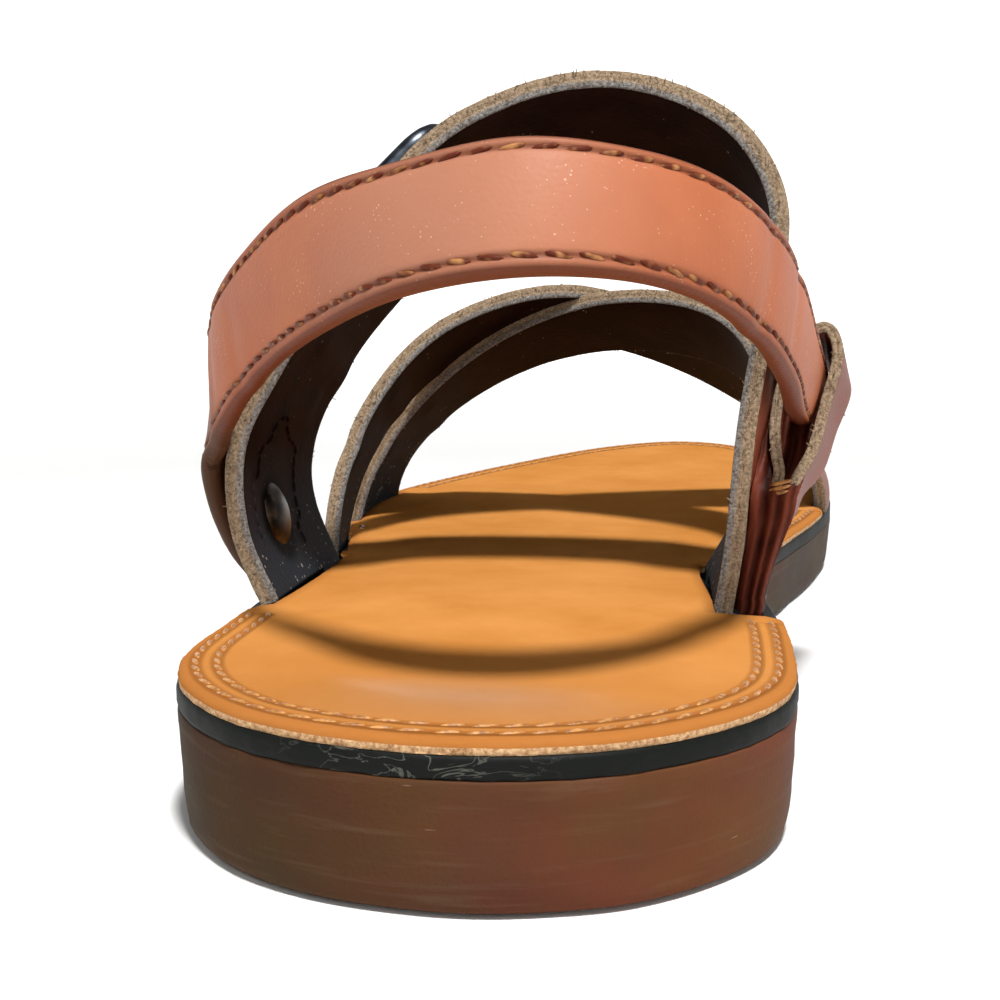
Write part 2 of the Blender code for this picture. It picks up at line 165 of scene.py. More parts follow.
FLOOR_RADIUS = 3.0
BEND = 1.0
WALL_HEIGHT = 4.0
ROUND = 96
bend = [(FLOOR_RADIUS + BEND * math.sin(a), BEND * (1 - math.cos(a))) for a in np.linspace(0, math.pi / 2, 25)]
sweep = [*bend, (FLOOR_RADIUS + BEND, WALL_HEIGHT)]
angles = [2 * math.pi * k / ROUND for k in range(ROUND)]
points = [(r * math.cos(a), r * math.sin(a), z) for r, z in sweep for a in angles]
floor_mesh = bpy.data.meshes.new("floor")
floor_mesh.from_pydata(points, [], [tuple(range(ROUND))] + ring_faces(len(sweep), ROUND, True))
floor_mesh.polygons.foreach_set("use_smooth", np.ones(len(floor_mesh.polygons), bool))
floor_mesh.materials.append(paper)
floor = bpy.data.objects.new("floor", floor_mesh)
bpy.context.scene.collection.objects.link(floor)

world = bpy.data.worlds.new("white surroundings")
world.use_nodes = True
world.node_tree.nodes["Background"].inputs["Color"].default_value = (1.0, 1.0, 1.0, 1.0)
world.node_tree.nodes["Background"].inputs["Strength"].default_value = 0.04
bpy.context.scene.world = world

bpy.context.scene.view_settings.view_transform = "Standard"

LAMPS = {
    "key lamp": ((0.2, -0.52, 1.25), (0.0, -0.03, 0.03), 0.16, 24.0),
    "fill from behind the camera": ((0.35, -1.1, 0.3), (0.0, -0.03, 0.03), 0.9, 1.25),
    "sheen on the heel strap": ((-0.25, -0.95, 0.9), (0.0, -0.12, 0.06), 0.5, 1.1),
}
for name, (spot_at, aimed_at, size, power) in LAMPS.items():
    lamp = bpy.data.lights.new(name, "AREA")
    lamp.shape = "DISK"
    lamp.size = size
    lamp.energy = power
    lamp_object = bpy.data.objects.new(name, lamp)
    lamp_object.location = spot_at
    aim = Vector(aimed_at) - Vector(spot_at)
    lamp_object.rotation_euler = aim.to_track_quat("-Z", "Y").to_euler()
    bpy.context.scene.collection.objects.link(lamp_object)

# Outsole: a unit sole cut from one sheet of foamed brown rubber, thicker under the heel, its sides
# trimmed and sanded flush with the layers above and its lower edge rounded.
MM = 0.001
MIDDLE = np.array([-5.87, 132.0, 0.0])
LENGTH = 264.0
GAP = 0.3
HEEL_THICKNESS = 13.8
BALL_THICKNESS = 9.8
TOE_SPRING = 3.6
SPRING_START = 188.0
# y, outer side, inner side
OUTLINE = [
    (0.0, 0.0, 0.0), (6.5, 21.8, 20.4), (25.0, 34.6, 33.2), (45.0, 36.2, 33.6), (70.0, 36.8, 31.0),
    (95.0, 40.0, 27.6), (120.0, 45.2, 27.6), (145.0, 49.8, 32.4), (170.0, 52.6, 37.8), (192.0, 50.0, 40.6),
    (214.0, 42.0, 40.2), (236.0, 29.6, 35.2), (252.0, 17.0, 27.0), (260.0, 6.6, 18.6), (264.0, -6.0, 6.0),
]


def curve_through(xs, ys):
    """A smooth function through a table's columns."""
    xs = np.asarray(xs, float)
    ys = np.asarray(ys, float)
    slopes = np.gradient(ys, xs)

    def value(at):
        at = np.clip(np.asarray(at, float), xs[0], xs[-1])
        i = np.clip(np.searchsorted(xs, at, side="right") - 1, 0, len(xs) - 2)
        span = xs[i + 1] - xs[i]
        t = (at - xs[i]) / span
        rise = ys[i + 1] - ys[i]
        bend = slopes[i] * span - rise
        unbend = rise - slopes[i + 1] * span
        return ys[i] + t * rise + t * (1 - t) * ((1 - t) * bend + t * unbend)

    return value


def step(value, low, high):
    t = np.clip((np.asarray(value, float) - low) / (high - low), 0, 1)
    return t * t * (3 - 2 * t)


def station(y):
    return np.arccos(1 - 2 * np.asarray(y, float) / LENGTH) / math.pi


outline_rows = np.array(OUTLINE)
outer_side = curve_through(station(outline_rows[:, 0]), outline_rows[:, 1])
inner_side = curve_through(station(outline_rows[:, 0]), outline_rows[:, 2])


def floor_height(y):
    return TOE_SPRING * (np.clip(np.asarray(y, float) - SPRING_START, 0, None) / (LENGTH - SPRING_START)) ** 2


def outsole_top(y):
    thickness = HEEL_THICKNESS + (BALL_THICKNESS - HEEL_THICKNESS) * step(y, 60, 150)
    return floor_height(y) + thickness


def outline_ring(count):
    """Points round the outline: heel, inner side, toe, outer side, with the side of each."""
    s = np.linspace(0, 1, count)
    y = LENGTH * (1 - np.cos(math.pi * s)) / 2
    inner = np.stack([inner_side(s), y], axis=1)
    outer = np.stack([-outer_side(s), y], axis=1)
    sides = np.concatenate([np.ones(count), -np.ones(count - 2)])
    return np.concatenate([inner, outer[-2:0:-1]]), sides


def moved_in(ring, inset):
    ahead = np.roll(ring, -1, axis=0) - np.roll(ring, 1, axis=0)
    ahead /= np.linalg.norm(ahead, axis=1)[:, None]
    inward = np.stack([-ahead[:, 1], ahead[:, 0]], axis=1)
    return ring + inward * np.broadcast_to(inset, len(ring))[:, None]


def stacked_faces(level_count, count):
    """Faces of rings one above the other, closed by strips from side to side."""
    size = 2 * count - 2
    faces = ring_faces(level_count, size)
    top = (level_count - 1) * size
    for i in range(count - 1):
        strip = list(dict.fromkeys((i, i + 1, (size - i - 1) % size, (size - i) % size)))
        faces.append(tuple(top + k for k in strip))
        faces.append(tuple(reversed(strip)))
    return faces


def uneven(points, size, height):
    """Soft random heights at these points, for hand-cut and worn faces: size of a bump and its height in mm."""
    return np.array([noise.noise(Vector(p) / size) for p in points]) * height


def add_piece(name, points, faces, materials, zones=None, uv=None, marks=None):
    """A smooth mesh piece from points in mm; zones pick a face's material, uv and marks are kept per point."""
    mesh = bpy.data.meshes.new(name)
    mesh.from_pydata(((np.asarray(points) - MIDDLE) * MM).tolist(), [], faces)
    for material in materials:
        mesh.materials.append(material)
    mesh.polygons.foreach_set("use_smooth", np.ones(len(mesh.polygons), bool))
    if zones is not None:
        mesh.polygons.foreach_set("material_index", np.asarray(zones, np.int32))
    if uv is not None:
        corners = np.empty(len(mesh.loops), np.int32)
        mesh.loops.foreach_get("vertex_index", corners)
        layer = mesh.uv_layers.new(name="lay")
        layer.data.foreach_set("uv", np.asarray(uv, np.float32)[corners].ravel())
    for mark, values in (marks or {}).items():
        kept = mesh.attributes.new(mark, "FLOAT", "POINT")
        kept.data.foreach_set("value", np.asarray(values, np.float32))
    piece = bpy.data.objects.new(name, mesh)
    bpy.context.scene.collection.objects.link(piece)
    return piece


# Sanded foam rubber: matt, with faint level sanding streaks, greener and darker on the outer side and redder on
# the inner, partly the rubber's tone and partly painted shade on the outer side, greyer towards the toe as painted
# shade, and a few short pale scratches. Streaks are 1 mm high and 14 mm long.
sole_rubber, tree, shader, spot = new_material("sanded foam rubber")
stretched = node(tree, "ShaderNodeMapping", Vector=spot, Scale=(70.0, 70.0, 1000.0))
streaks = soft_noise(tree, stretched.outputs["Vector"], 1.0, Detail=4.0)
cloud_node = node(tree, "ShaderNodeTexNoise", Vector=spot, Scale=70.0, Detail=3.0)
apart = node(tree, "ShaderNodeSeparateXYZ", Vector=spot)
# Painted shade in part: the outer side darker and greener than the rubber's own tone.
side_tone_and_shade = ramp(tree, apart.outputs["X"], -0.035, 0.035)
ground = blend(tree, side_tone_and_shade, "#2e2818", "#633c27")
# Painted shade: greyer towards the toe.
toe_shade = ramp(tree, apart.outputs["Y"], -0.11, -0.06, last=0.8)
toe_shaded = blend(tree, toe_shade, ground, "#3f382f")
cloudy = blend(tree, 0.35, toe_shaded, cloud_node.outputs["Color"], "OVERLAY")
pale = ramp(tree, streaks, 0.55, 0.8, last=0.12)
streaked = blend(tree, pale, cloudy, "#8a7a66")
long_way = node(tree, "ShaderNodeMapping", Vector=spot, Rotation=(0.0, 0.06, 0.0), Scale=(260.0, 260.0, 2600.0))
cuts = soft_noise(tree, long_way.outputs["Vector"], 1.0, Detail=1.0)
scratch = ramp(tree, cuts, 0.8, 0.85, last=0.4)
scratched = blend(tree, scratch, streaked, "#b7a58f")
grit = soft_noise(tree, spot, 2200.0, Detail=2.0)
heights = maths(tree, "MULTIPLY_ADD", streaks, 0.8, grit)
bump = bumps(tree, heights, 0.35, 0.0002)
matt = ramp(tree, cloud_node.outputs["Fac"], first=0.5, last=0.72)
plug(tree, shader, Base_Color=scratched, Roughness=matt, Normal=bump, Specular_IOR_Level=0.05)

# Ribbed tread rubber: dark brown, matt, with low wavy ribs 5 mm apart across the underside.
tread_rubber, tree, shader, spot = new_material("ribbed tread rubber")
ribs = node(tree, "ShaderNodeTexWave", {"bands_direction": "Y"}, Vector=spot, Scale=63.0, Distortion=1.5,
            Detail=0.0)
bump = bumps(tree, ribs.outputs["Fac"], 0.8, 0.0008)
plug(tree, shader, Normal=bump, Base_Color=linear("#3c2a1e"), Roughness=0.75)

COUNT = 240
ring, sides = outline_ring(COUNT)
along = ring[:, 1]
bottom = floor_height(along)
depth = outsole_top(along) + GAP / 2 - bottom
SIDE_PROFILE = curve_through(
    [0.0, 0.04, 0.1, 0.2, 0.45, 0.8, 0.93, 1.0], [3.0, 1.4, 0.95, 0.65, 0.4, 0.15, 0.03, 0.12])
SIDE_LEVELS = [0.0, 0.008, 0.02, 0.04, 0.07, 0.11, 0.16, 0.22, 0.3, 0.4, 0.5, 0.6, 0.7, 0.8, 0.88, 0.94, 0.98, 1.0]
levels = []
for share in SIDE_LEVELS:
    flat = moved_in(ring, SIDE_PROFILE(share))
    level = np.column_stack([flat, bottom + share * depth])
    waver = uneven(level * (1, 1, 3), 9.0, 0.16)
    levels.append(np.column_stack([moved_in(flat, 0.08 - waver), level[:, 2]]))
side_zones = [0] * ((len(levels) - 1) * len(ring))
outsole = add_piece("sole_rubber_sheet", np.concatenate(levels), stacked_faces(len(levels), COUNT),
                    [sole_rubber, tread_rubber], side_zones + [0, 1] * (COUNT - 1))
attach(outsole, "root")
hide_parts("outsole")

# Midsole: a thin sheet of black rubber glued between the outsole and the leather, with its sides buffed
# and with fine pale scratches at the back of the heel.
MIDSOLE = 2.2


def midsole_top(y):
    return outsole_top(y) + GAP + MIDSOLE


# Black sheet rubber: a satin near-black with a green cast, and wisps of grey 0.1 mm wide where it was rubbed.
midsole_rubber, tree, shader, spot = new_material("buffed black rubber")
stretched = node(tree, "ShaderNodeMapping", Vector=spot, Scale=(220.0, 220.0, 420.0))
rubs = soft_noise(tree, stretched.outputs["Vector"], 1.0, Detail=3.0, Distortion=1.2)
off_line = maths(tree, "SUBTRACT", rubs, 0.5)
off = maths(tree, "ABSOLUTE", off_line)
wisp = ramp(tree, off, high=0.022, first=1.0, last=0.0)
from_back = far_from(tree, spot, (0.004, -0.132, 0.0155))
near = ramp(tree, from_back, 0.003, 0.016, 0.5, 0.0)
toned_at_back = maths(tree, "MULTIPLY", wisp, near)
colour = blend(tree, toned_at_back, "#0b0e0b", "#77756c")
bump = bumps(tree, rubs, 0.4, 0.0003)
plug(tree, shader, Base_Color=colour, Normal=bump, Roughness=0.6, Specular_IOR_Level=0.15)

low = outsole_top(along) + GAP / 2
MIDSOLE_PROFILE = [
    (0.45, 0.0), (0.2, 0.03), (0.08, 0.1), (0.0, 0.25), (0.0, 0.5), (0.0, 0.75), (0.1, 0.92), (0.5, 1.0),
]
levels = []
for inset, share in MIDSOLE_PROFILE:
    level = np.column_stack([moved_in(ring, inset), low + share * (MIDSOLE + GAP)])
    waver = uneven(level, 2.2, 0.12) + uneven(level, 7.0, 0.12)
    levels.append(np.column_stack([moved_in(ring, inset + 0.1 - waver), level[:, 2]]))
midsole = add_piece("midsole_sheet", np.concatenate(levels), stacked_faces(len(levels), COUNT),
                    [midsole_rubber])
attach(midsole, "root")
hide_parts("midsole")

# Insole: a smooth golden vegetable-tanned leather top sole, cut to the outline and let in at the straps,
# with a raw pale cut edge and two rows of waxed thread sewn along it.
INSOLE = 1.5
# side, from y, to y, depth there and there
NOTCHES = [
    (-1, 54.0, 100.0, 4.4, 6.2), (-1, 98.0, 132.0, 5.2, 3.6), (-1, 147.0, 187.0, 3.5, 3.5),
    (1, 60.0, 105.0, 10.0, 9.2), (1, 103.0, 134.0, 3.8, 3.5), (1, 181.0, 212.0, 3.5, 3.5),
]


def notched(along, sides):
    """How far the insole's edge stands in from the outline."""
    inset = np.full(len(along), 0.2)
    for side, start, end, first, last in NOTCHES:
        inside = step(along, start - 2.5, start + 1) * (1 - step(along, end - 1, end + 2.5))
        reach = first + (last - first) * np.clip((along - start) / (end - start), 0, 1)
        inset = np.maximum(inset, np.where(sides == side, reach * inside, 0))
    return inset


SEWN_ROWS = (2.2, 4.6)

# Vegetable-tanned leather: golden tan, cloudy, with fine pores 0.4 mm apart, darker towards the back as painted
# shade, and a waxed shine at the back. The mark edge is the distance from the cut, which is rubbed darker, and the
# mark seam that from the outline; the dents along the sewn rows are darkened as painted shade.
insole_leather, tree, shader, spot = new_material("waxed tan leather")
clouds = soft_noise(tree, spot, 55.0, Detail=5.0, Roughness=0.6)
pores = cells(tree, spot, 2400.0)
wrinkle = soft_noise(tree, spot, 420.0, Detail=4.0)
cloud_share = ramp(tree, clouds, 0.3, 0.7)
tan = blend(tree, cloud_share, "#bb7a39", "#cc8b4a")
apart = node(tree, "ShaderNodeSeparateXYZ", Vector=spot)
# Painted shade: the leather darkens towards the back of the heel.
behind = ramp(tree, apart.outputs["Y"], -0.124, -0.085, 0.6, 0.0)
toned_at_back = blend(tree, behind, tan, "#a56a35")
edge_mark = mark(tree, "edge")
rim = ramp(tree, edge_mark, 0.2, 1.6, 0.55, 0.0)
darkened_by_mark = blend(tree, rim, toned_at_back, "#a0622f")
seam_mark = mark(tree, "seam")
rows_of_dents = []
for at in SEWN_ROWS:
    away = maths(tree, "SUBTRACT", seam_mark, at)
    away = maths(tree, "ABSOLUTE", away)
    rows_of_dents.append(ramp(tree, away, 0.1, 1.0, shape="SMOOTHSTEP"))
dents = maths(tree, "MULTIPLY", rows_of_dents[0], rows_of_dents[1])
# Painted shade in the dents along the sewn rows.
seam_shade = ramp(tree, dents, first=0.5, last=0.0)
darkened = blend(tree, seam_shade, darkened_by_mark, "#8a4c1f")
fine = maths(tree, "MULTIPLY_ADD", pores, 0.35, wrinkle)
bump_fine = bumps(tree, fine, 0.16, 0.0003)
bump_dents = bumps(tree, dents, 0.9, 0.0006, bump_fine)
gloss = ramp(tree, clouds, first=0.4, last=0.6)
patch = node(tree, "ShaderNodeMapping", {"vector_type": "TEXTURE"}, Vector=spot,
             Location=(0.006, -0.119, 0.018), Scale=(0.026, 0.009, 1.0))
from_patch = node(tree, "ShaderNodeVectorMath", {"operation": "LENGTH"},
                  i0=patch.outputs["Vector"]).outputs["Value"]
waxed = ramp(tree, from_patch, first=1.0, last=0.0, shape="SMOOTHSTEP")
plug(tree, shader, Base_Color=darkened, Roughness=gloss, Coat_Weight=waxed, Normal=bump_dents,
     Specular_IOR_Level=0.0, Coat_Roughness=0.25, Coat_IOR=2.0)


def two_tone(name, ground, over, scale, low, high, **more):
    """A material clouded in two colours, its node tree and shader, and the clouds."""
    material, tree, shader, spot = new_material(name)
    clouds = soft_noise(tree, spot, scale, **more)
    plug(tree, shader, Base_Color=blend(tree, ramp(tree, clouds, low, high), ground, over))
    return material, tree, shader, clouds


# Raw insole edge: pinkish pale fibre, rough to the eye, with darker pits. Fibres are drawn 0.6 mm wide to show.
insole_edge, tree, shader, fibres = two_tone("cut tan leather edge", "#96643c", "#dfb888", 1700.0, 0.35, 0.65,
                                             Detail=4.0, Roughness=0.7)
plug(tree, shader, Normal=bumps(tree, fibres, 0.6, 0.0003), Roughness=0.9)

ROWS = 330
ring, sides = outline_ring(ROWS)
size = len(ring)
along = ring[:, 1]
inset = notched(along, sides)
lean = step(inset, 0.2, 3.0) * np.where(along < 105, 2.2, 1.0)
edge_levels = []
EDGE_PROFILE = [
    (0.0, 0.1), (0.15, 0.05), (0.3, 0.0), (0.45, 0.0), (0.6, 0.05), (0.72, 0.15), (0.83, 0.32), (0.92, 0.55),
]
RAW_LEVELS = 3
for share, back in EDGE_PROFILE:
    flat = moved_in(ring, inset - share * lean + back)
    level = np.column_stack([flat, midsole_top(along) + GAP / 2 + share * (INSOLE + GAP / 2)])
    rough = uneven(level, 0.9, 0.1) + uneven(level, 3.0, 0.1)
    edge_levels.append(np.column_stack([moved_in(flat, 0.1 - rough), level[:, 2]]))
top_edge = moved_in(ring, inset - lean + 0.9)


def nearest(places):
    """A search for the nearest of these places in plan."""
    tree = kdtree.KDTree(len(places))
    for k, (x, y) in enumerate(places):
        tree.insert((x, y, 0), k)
    tree.balance()
    return tree


cut_line, outline = nearest(top_edge), nearest(ring)


def insole_height(x, y):
    """Top of the leather, rounded down at the cut and fuller inside the sewn rows, and the distance to the cut."""
    far = cut_line.find((x, y, 0))[2]
    fall = 0.08 * (1 - min(far / 0.8, 1)) ** 2
    return midsole_top(y) + GAP + INSOLE - fall + 0.45 * step(far, 4.5, 13), far


def from_outline(x, y):
    """Distance to the sole's outline, or 20 beside a notch, where nothing is sewn."""
    for side, start, end, first, last in NOTCHES:
        if start - 5 < y < end + 5 and side * (x + 4) > 0:
            return 20.0
    return outline.find((x, y, 0))[2]


COLUMNS = 96
spread = np.linspace(0, 1, COLUMNS)
spread = spread - 0.1 * np.sin(2 * math.pi * spread)
points = [p for level in edge_levels for p in level]
edge_marks = [0.0] * len(points)
top_start = len(points)
for p in top_edge:
    z, far = insole_height(*p)
    points.append((p[0], p[1], z))
    edge_marks.append(far)
faces = ring_faces(len(edge_levels) + 1, size)
zones = [1] * (RAW_LEVELS * size) + [0] * ((len(edge_levels) - RAW_LEVELS) * size)
for i in range(ROWS - 1):
    faces.append(tuple(reversed(list(dict.fromkeys((i, i + 1, (size - i - 1) % size, (size - i) % size))))))
    zones.append(1)
strips = []
for i in range(ROWS):
    inner, outer = top_start + i, top_start + (size - i) % size
    if inner == outer or i == ROWS - 1:
        strips.append([inner] * COLUMNS)
        continue
    strip = [inner]
    for t in spread[1:-1]:
        x, y = top_edge[i] * (1 - t) + top_edge[(size - i) % size] * t
        z, far = insole_height(x, y)
        strip.append(len(points))
        points.append((x, y, z))
        edge_marks.append(far)
    strips.append(strip + [outer])
for here, onward in zip(strips, strips[1:]):
    for c in range(COLUMNS - 1):
        face = tuple(dict.fromkeys((here[c], onward[c], onward[c + 1], here[c + 1])))
        if len(face) > 2:
            faces.append(face)
            zones.append(0)
insole = add_piece("insole_leather_sheet", points, faces, [insole_leather, insole_edge], zones,
                   marks={"edge": edge_marks, "seam": [from_outline(p[0], p[1]) for p in points]})
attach(insole, "root")
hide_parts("insole")


def stitch_row_tree():
    """Geometry nodes that lay one stitch on each point, along and out from the leather as its marks say."""
    tree = bpy.data.node_groups.new("stitch row", "GeometryNodeTree")
    sockets = {"Seam": "Geometry", "Stitch Length": "Float", "Stitch Width": "Float", "Stitch Height": "Float",
               "Thread": "Material"}
    for name, kind in sockets.items():
        tree.interface.new_socket(name, in_out="INPUT", socket_type="NodeSocket" + kind)
    tree.interface.new_socket("Stitches", in_out="OUTPUT", socket_type="NodeSocketGeometry")
    given = node(tree, "NodeGroupInput").outputs
    bead = node(tree, "GeometryNodeMeshUVSphere", Segments=8, Rings=6, Radius=0.5)
    sizes = node(tree, "ShaderNodeCombineXYZ", X=given["Stitch Length"], Y=given["Stitch Width"],
                 Z=given["Stitch Height"])
    stitch = node(tree, "GeometryNodeTransform", Geometry=bead.outputs["Mesh"], Scale=sizes.outputs["Vector"])
    along = node(tree, "GeometryNodeInputNamedAttribute", {"data_type": "FLOAT_VECTOR"}, Name="along")
    out = node(tree, "GeometryNodeInputNamedAttribute", {"data_type": "FLOAT_VECTOR"}, Name="out")
    turn = node(tree, "FunctionNodeAxesToRotation", {"primary_axis": "X", "secondary_axis": "Z"},
                i0=along.outputs["Attribute"], i1=out.outputs["Attribute"])
    laid = node(tree, "GeometryNodeInstanceOnPoints", Points=given["Seam"], Instance=stitch.outputs["Geometry"],
                Rotation=turn.outputs["Rotation"])
    real = node(tree, "GeometryNodeRealizeInstances", Geometry=laid.outputs["Instances"])
    smooth = node(tree, "GeometryNodeSetShadeSmooth", Geometry=real.outputs["Geometry"])
    coloured = node(tree, "GeometryNodeSetMaterial", Geometry=smooth.outputs["Geometry"],
                    Material=given["Thread"])
    node(tree, "NodeGroupOutput", i0=coloured.outputs["Geometry"])
    return tree


STITCH_ROW = stitch_row_tree()


def travel(path):
    """The way gone along a path at each of its points."""
    return np.concatenate([[0], np.cumsum(np.linalg.norm(np.diff(path, axis=0), axis=1))])


def spaced(path, pitch):
    """Places a pitch apart along a path, and the direction of the path there."""
    path = np.asarray(path, float)
    travelled = travel(path)
    at = np.arange(pitch / 2, travelled[-1], pitch)
    places = np.stack([np.interp(at, travelled, c) for c in path.T], axis=1)
    before, after = [np.stack([np.interp(at + s, travelled, c) for c in path.T], axis=1) for s in (-0.3, 0.3)]
    ahead = after - before
    return places, ahead / np.linalg.norm(ahead, axis=1)[:, None]


def sew(name, places, along, out, sizes, thread):
    """One piece of stitches at these places; sizes are a stitch's length, width and height in mm."""
    seam = bpy.data.meshes.new(name)
    seam.from_pydata(((np.asarray(places) - MIDDLE) * MM).tolist(), [], [])
    for mark, vectors in (("along", along), ("out", out)):
        kept = seam.attributes.new(mark, "FLOAT_VECTOR", "POINT")
        kept.data.foreach_set("vector", np.asarray(vectors, np.float32).ravel())
    piece = bpy.data.objects.new(name, seam)
    bpy.context.scene.collection.objects.link(piece)
    modifier = piece.modifiers.new("stitch row", "NODES")
    modifier.node_group = STITCH_ROW
    given = {item.name: item.identifier for item in STITCH_ROW.interface.items_tree if item.in_out == "INPUT"}
    for label, value in zip(("Stitch Length", "Stitch Width", "Stitch Height"), sizes):
        modifier[given[label]] = value * MM
    modifier[given["Thread"]] = thread
    graph = bpy.context.evaluated_depsgraph_get()
    piece.data = bpy.data.meshes.new_from_object(piece.evaluated_get(graph))
    piece.modifiers.clear()
    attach(piece, "root")
    return piece


# Waxed linen thread: golden, with a soft shine and a laid twist drawn 0.6 mm wide so that it shows.
gold_thread, tree, shader, twist = two_tone("waxed golden thread", "#8a5222", "#c98f4a", 1600.0, 0.35, 0.65,
                                            Detail=2.0)
plug(tree, shader, Normal=bumps(tree, twist, 0.4, 0.0002), Roughness=0.45, Sheen_Weight=0.2)

INSOLE_PITCH = 3.0
INSOLE_STITCH = (2.8, 0.65, 0.5)
SLANT = 0.22
path_ring = outline_ring(900)[0]
for count, inset in enumerate(SEWN_ROWS):
    line = moved_in(path_ring, inset)
    flat, ahead = spaced(np.concatenate([line, line[:1]]), INSOLE_PITCH)
    sewn = np.array([from_outline(x, y) < 20 for x, y in flat])
    flat, ahead = flat[sewn], ahead[sewn]
    places = [(x, y, insole_height(x, y)[0] - 0.05) for x, y in flat]
    ahead = np.column_stack([ahead, np.zeros(len(ahead))])
    out = np.tile((0.0, 0.0, 1.0), (len(ahead), 1))
    aslant = ahead + SLANT * np.cross(out, ahead)
    sew(f"insole_stitches_{count + 1}", places, aslant, out, INSOLE_STITCH, gold_thread)

# Instep strap: a wide band of two leathers glued back to back, red-brown grain outside and dark lining inside,
# its edges left raw. Both ends go down past the insole and are glued on the midsole.
STRAP = 2.5
ROW_STEPS = 24
# back edge x, y, z and front edge x, y, z of the outer face, from the outer to the inner anchor
INSTEP = [
    (-35.1, 57.0, 15.9, -37.3, 93.0, 15.3), (-40.0, 58.0, 26.8, -41.8, 94.0, 26.0),
    (-40.6, 59.5, 38.3, -42.1, 95.5, 34.8), (-35.9, 61.5, 48.7, -38.6, 97.5, 44.3),
    (-27.3, 65.0, 63.3, -31.8, 100.5, 54.7), (-17.2, 69.0, 77.5, -22.4, 104.0, 64.2),
    (-6.1, 72.0, 84.4, -10.2, 106.5, 69.5), (6.0, 73.5, 86.9, 4.6, 107.5, 71.0),
    (17.5, 73.0, 84.7, 18.7, 107.0, 68.7), (26.8, 71.5, 78.5, 28.8, 105.5, 62.0),
    (31.5, 69.5, 68.3, 33.2, 103.5, 52.7), (30.0, 67.5, 55.0, 33.2, 101.5, 42.0),
    (28.0, 66.0, 40.8, 30.4, 100.5, 31.9), (26.9, 64.8, 26.4, 26.4, 101.5, 22.6),
    (25.4, 64.0, 15.7, 22.2, 102.5, 14.9),
]


def smooth_rows(rows, steps):
    """More rows, along a smooth curve through the given ones."""
    rows = np.asarray(rows, float)
    at = np.linspace(0, len(rows) - 1, (len(rows) - 1) * steps + 1)
    return np.stack([curve_through(np.arange(len(rows)), c)(at) for c in rows.T], axis=1)


def between_edges(rows, columns):
    """A grid across each row, from its first edge to its second."""
    share = np.linspace(0, 1, columns)[None, :, None]
    return rows[:, None, :3] * (1 - share) + rows[:, None, 3:6] * share


def unit(vectors):
    return vectors / np.linalg.norm(vectors, axis=-1, keepdims=True)


def normals_of(grid):
    """Normals on the side away from the foot, for rows that run from the outer to the inner side."""
    return unit(np.cross(np.gradient(grid, axis=0), np.gradient(grid, axis=1)))


def upright_ends(normal):
    """The same normals, level at the two ends that stand on the sole."""
    normal = normal.copy()
    normal[[0, -1], :, 2] = 0
    return unit(normal)


def lofted(grid, normal, section):
    """Rings round a strap: a section row holds share across, mm past the edge and depth below the outer face."""
    columns = grid.shape[1]
    rings = []
    for share, beyond, depth in section:
        at = share * (columns - 1)
        c = min(int(at), columns - 2)
        t = at - c
        across = unit(grid[:, c + 1] - grid[:, c])
        inward = unit(normal[:, c] * (1 - t) + normal[:, c + 1] * t)
        rings.append(grid[:, c] * (1 - t) + grid[:, c + 1] * t + across * beyond - inward * depth)
    return np.stack(rings, axis=1)


def strap_faces(rows, around):
    """Faces of a closed strap whose rings have so many points, with both ends closed."""
    last = range((rows - 1) * around, rows * around)
    return ring_faces(rows, around, True) + [tuple(range(around)), tuple(reversed(last))]


def raw_section(columns, thickness):
    """A strap of two leathers with cut edges, and the zone of each row: 0 grain, 1 raw edge, 2 lining."""
    t = thickness
    shares = np.linspace(0, 1, columns)[1:-1]
    side = [(-0.3, 0.0), (-0.1, 0.05), (0.0, 0.25), (0.05, 0.3 * t), (-0.02, 0.42 * t), (-0.16, 0.5 * t),
            (-0.02, 0.58 * t), (0.05, 0.7 * t), (0.0, t - 0.25), (-0.1, t - 0.05), (-0.3, t)]
    rows = [(s, 0.0, 0.0) for s in shares]
    zones = [0] * len(shares)
    rows += [(1.0, beyond, depth) for beyond, depth in side]
    zones += [1] * (len(side) - 1) + [2]
    rows += [(s, 0.0, t) for s in shares[::-1]]
    zones += [2] * len(shares)
    rows += [(0.0, -beyond, depth) for beyond, depth in reversed(side)]
    zones += [1] * (len(side) - 1) + [0]
    return rows, zones


def add_strap(name, grid, normal, section, zones, materials, ragged=0.12):
    """A closed strap piece with lengthwise and crosswise places in mm as its UV, and ragged raw edges."""
    rings = lofted(grid, normal, section)
    rows, around = rings.shape[:2]
    middle = grid[:, grid.shape[1] // 2]
    travelled = travel(middle)
    girth = travel(rings[rows // 2])
    raw = np.array([zone == 1 for zone in zones])
    if raw.any():
        outward = unit(rings - rings.mean(axis=1, keepdims=True))
        for s in np.nonzero(raw)[0]:
            shift = uneven(rings[:, s], 0.8, ragged) + uneven(rings[:, s], 3.5, ragged)
            rings[:, s] += outward[:, s] * shift[:, None]
    uv = np.stack(np.meshgrid(travelled, girth, indexing="ij"), axis=2).reshape(-1, 2)
    depth_mark = np.tile([row[2] for row in section], rows)
    face_zones = [zones[s] for r in range(rows - 1) for s in range(around)] + [1 if raw.any() else 0] * 2
    return add_piece(name, rings.reshape(-1, 3), strap_faces(rows, around), materials, face_zones, uv,
                     {"depth": depth_mark})


